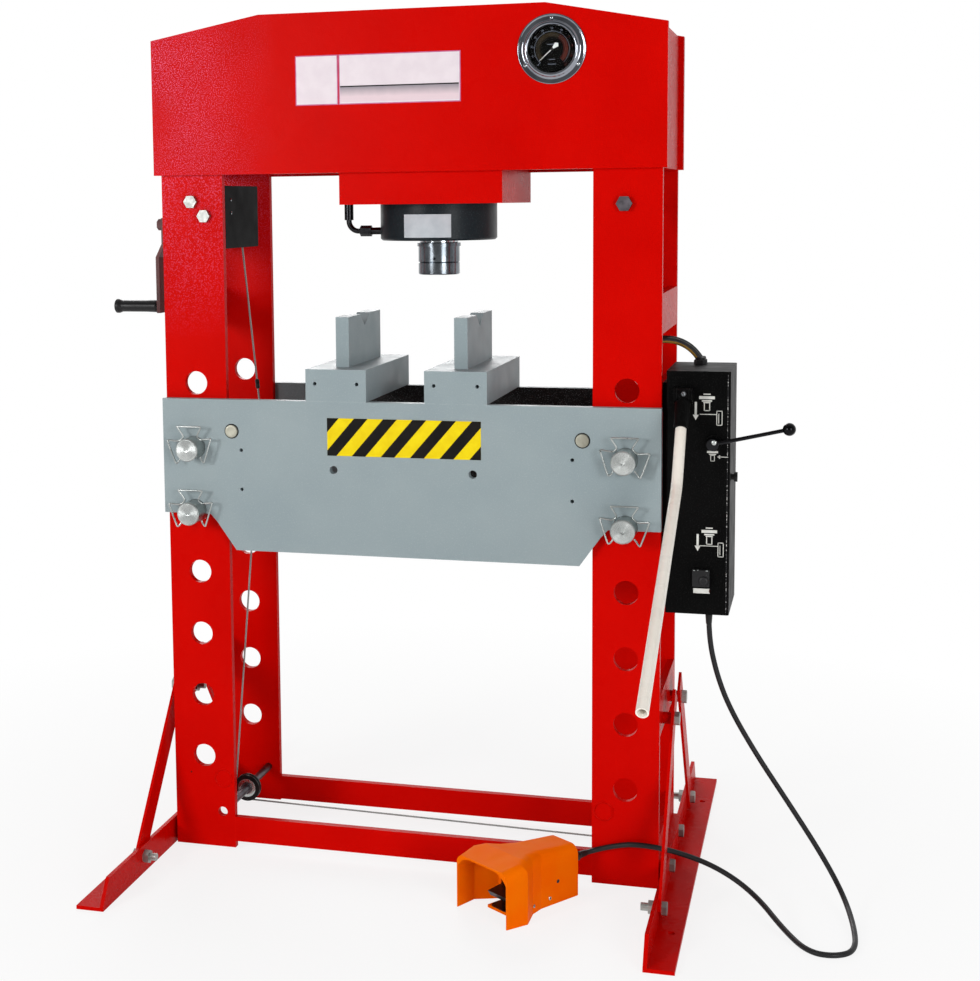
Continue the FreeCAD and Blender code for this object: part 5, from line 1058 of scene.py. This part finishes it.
def pedal_pad():
    """The dark rubber pad, rounded at its front, on the lip under the treadle."""
    pad = Shape(PLASTIC)
    beside = (-PEDAL_WAY.y, PEDAL_WAY.x, 0)
    spot = Matrix((PEDAL_WAY, beside, (0, 0, 1))).transposed().to_4x4()
    spot.translation = PEDAL_ORIGIN
    outline = [(PAD_END, -PAD_HALF), (PAD_END, PAD_HALF)]
    for side, turns in ((1, range(7)), (-1, range(6, 13))):
        for turn in turns:
            angle = math.radians(15 * turn)
            outline.append((PAD_START + PAD_CORNER - PAD_CORNER * math.sin(angle),
                            side * (PAD_HALF - PAD_CORNER) + PAD_CORNER * math.cos(angle)))
    pad.prism(spot, outline, PAD_THICK, 0, LIP_HEIGHT)
    pad.piece("pedal_pad", "frame", 0.0004)


# ---- floor and light ----

FLOOR_Z, FLOOR_MIDDLE, FLOOR_REACH = -0.0005, 2.0, 12.0
FLOOR_TONE, FLOOR_ROUGHNESS = (244, 244, 244), 0.9
GLOW_RANGE = (0.6, 2.0, 0.82, 1.0)  # from and to these distances, from and to these shares
LEVEL, FRONT_GLOSS, GLOSS_DEPTHS = 0.34, 0.2, (-0.5, 0.2)
LAMPS = (                           # name, place, target, side and watts
    ("key", (-2.35, -4.2, 1.95), (0, 0, 0.9), 1.1, 88),
    ("fill", (3.2, -3.8, 1.6), (0, 0, 0.8), 1.8, 76),
    ("back", (-1.5, 4.5, 3.0), (0, 0, 0.9), 2.4, 110))


def floor():
    """A pale floor that fades to white far from the press."""
    shape = Shape()
    shape.lathe(Matrix.Translation((0, 0, FLOOR_Z)), [(0, 0), (FLOOR_MIDDLE, 0), (FLOOR_REACH, 0)], 96)
    data = bpy.data.meshes.new("floor")
    shape.mesh.to_mesh(data)
    shape.mesh.free()
    data.materials.append(floor_paint())
    plate = bpy.data.objects.new("floor", data)
    SCENE.collection.objects.link(plate)


def floor_paint():
    """Matte near white, and more and more plain white to the camera away from the press."""
    paint = Paint("floor")
    paint.colour(tone(*FLOOR_TONE))
    paint.give("Roughness", FLOOR_ROUGHNESS)
    glow = paint.node("Emission", Strength=1.0).outputs[0]
    far = paint.ranged(paint.reckon("VectorMath", "LENGTH", paint.place), *GLOW_RANGE)
    ray = paint.node("LightPath").outputs
    seen = paint.reckon("Math", "MAXIMUM", ray["Is Camera Ray"], ray["Is Glossy Ray"])
    blend = paint.node("MixShader")
    for source, socket in zip((paint.times(far, seen), paint.shader.outputs[0], glow), blend.inputs):
        paint.link(source, socket)
    paint.link(blend.outputs[0], paint.tree.nodes["Material Output"].inputs["Surface"])
    return paint.material


def world():
    """A white room: full white where it is seen, softer as a light, and dim in gloss in front."""
    room = bpy.data.worlds.new("room")
    SCENE.world = room
    room.use_nodes = True
    nodes, links = room.node_tree.nodes, room.node_tree.links

    def either(share, first, second):
        made = nodes.new("ShaderNodeMix")
        for value, place in ((share, 0), (first, 2), (second, 3)):
            feed(room.node_tree, value, made.inputs[place])
        return made.outputs[0]

    back = nodes["Background"]
    back.inputs["Color"].default_value = (1, 1, 1, 1)
    ray = nodes.new("ShaderNodeLightPath")
    way = nodes.new("ShaderNodeSeparateXYZ")
    links.new(nodes.new("ShaderNodeTexCoord").outputs["Generated"], way.inputs[0])
    depth = nodes.new("ShaderNodeMapRange")
    depth.inputs["From Min"].default_value, depth.inputs["From Max"].default_value = GLOSS_DEPTHS
    depth.inputs["To Min"].default_value = FRONT_GLOSS
    links.new(way.outputs["Y"], depth.inputs["Value"])
    gloss = either(ray.outputs["Is Glossy Ray"], LEVEL, depth.outputs["Result"])
    clear = either(ray.outputs["Is Transmission Ray"], gloss, 1.0)
    links.new(either(ray.outputs["Is Camera Ray"], clear, 1.0), back.inputs["Strength"])


def lamp(name, spot, target, side, power):
    """A square soft light that faces its target."""
    data = bpy.data.lights.new(name, "AREA")
    data.size = side
    data.energy = power
    thing = bpy.data.objects.new(name, data)
    thing.location = spot
    thing.rotation_euler = (Vector(target) - Vector(spot)).to_track_quat("-Z", "Y").to_euler()
    SCENE.collection.objects.link(thing)


def studio():
    world()
    for values in LAMPS:
        lamp(*values)
    SCENE.view_settings.view_transform = "Standard"


make_camera()
pedal_cable()
cable_glands()
dress_nodes()
name_plate()
gland_plate()
gauge_bezel()
gauge_face()
hazard_strip()
pin_clips()
lift_bar_ends()
axle_welds()
sheave_discs()
winch_details()
box_marks()
box_details()
lever_details()
pedal_screws()
pedal_pad()
floor()
studio()
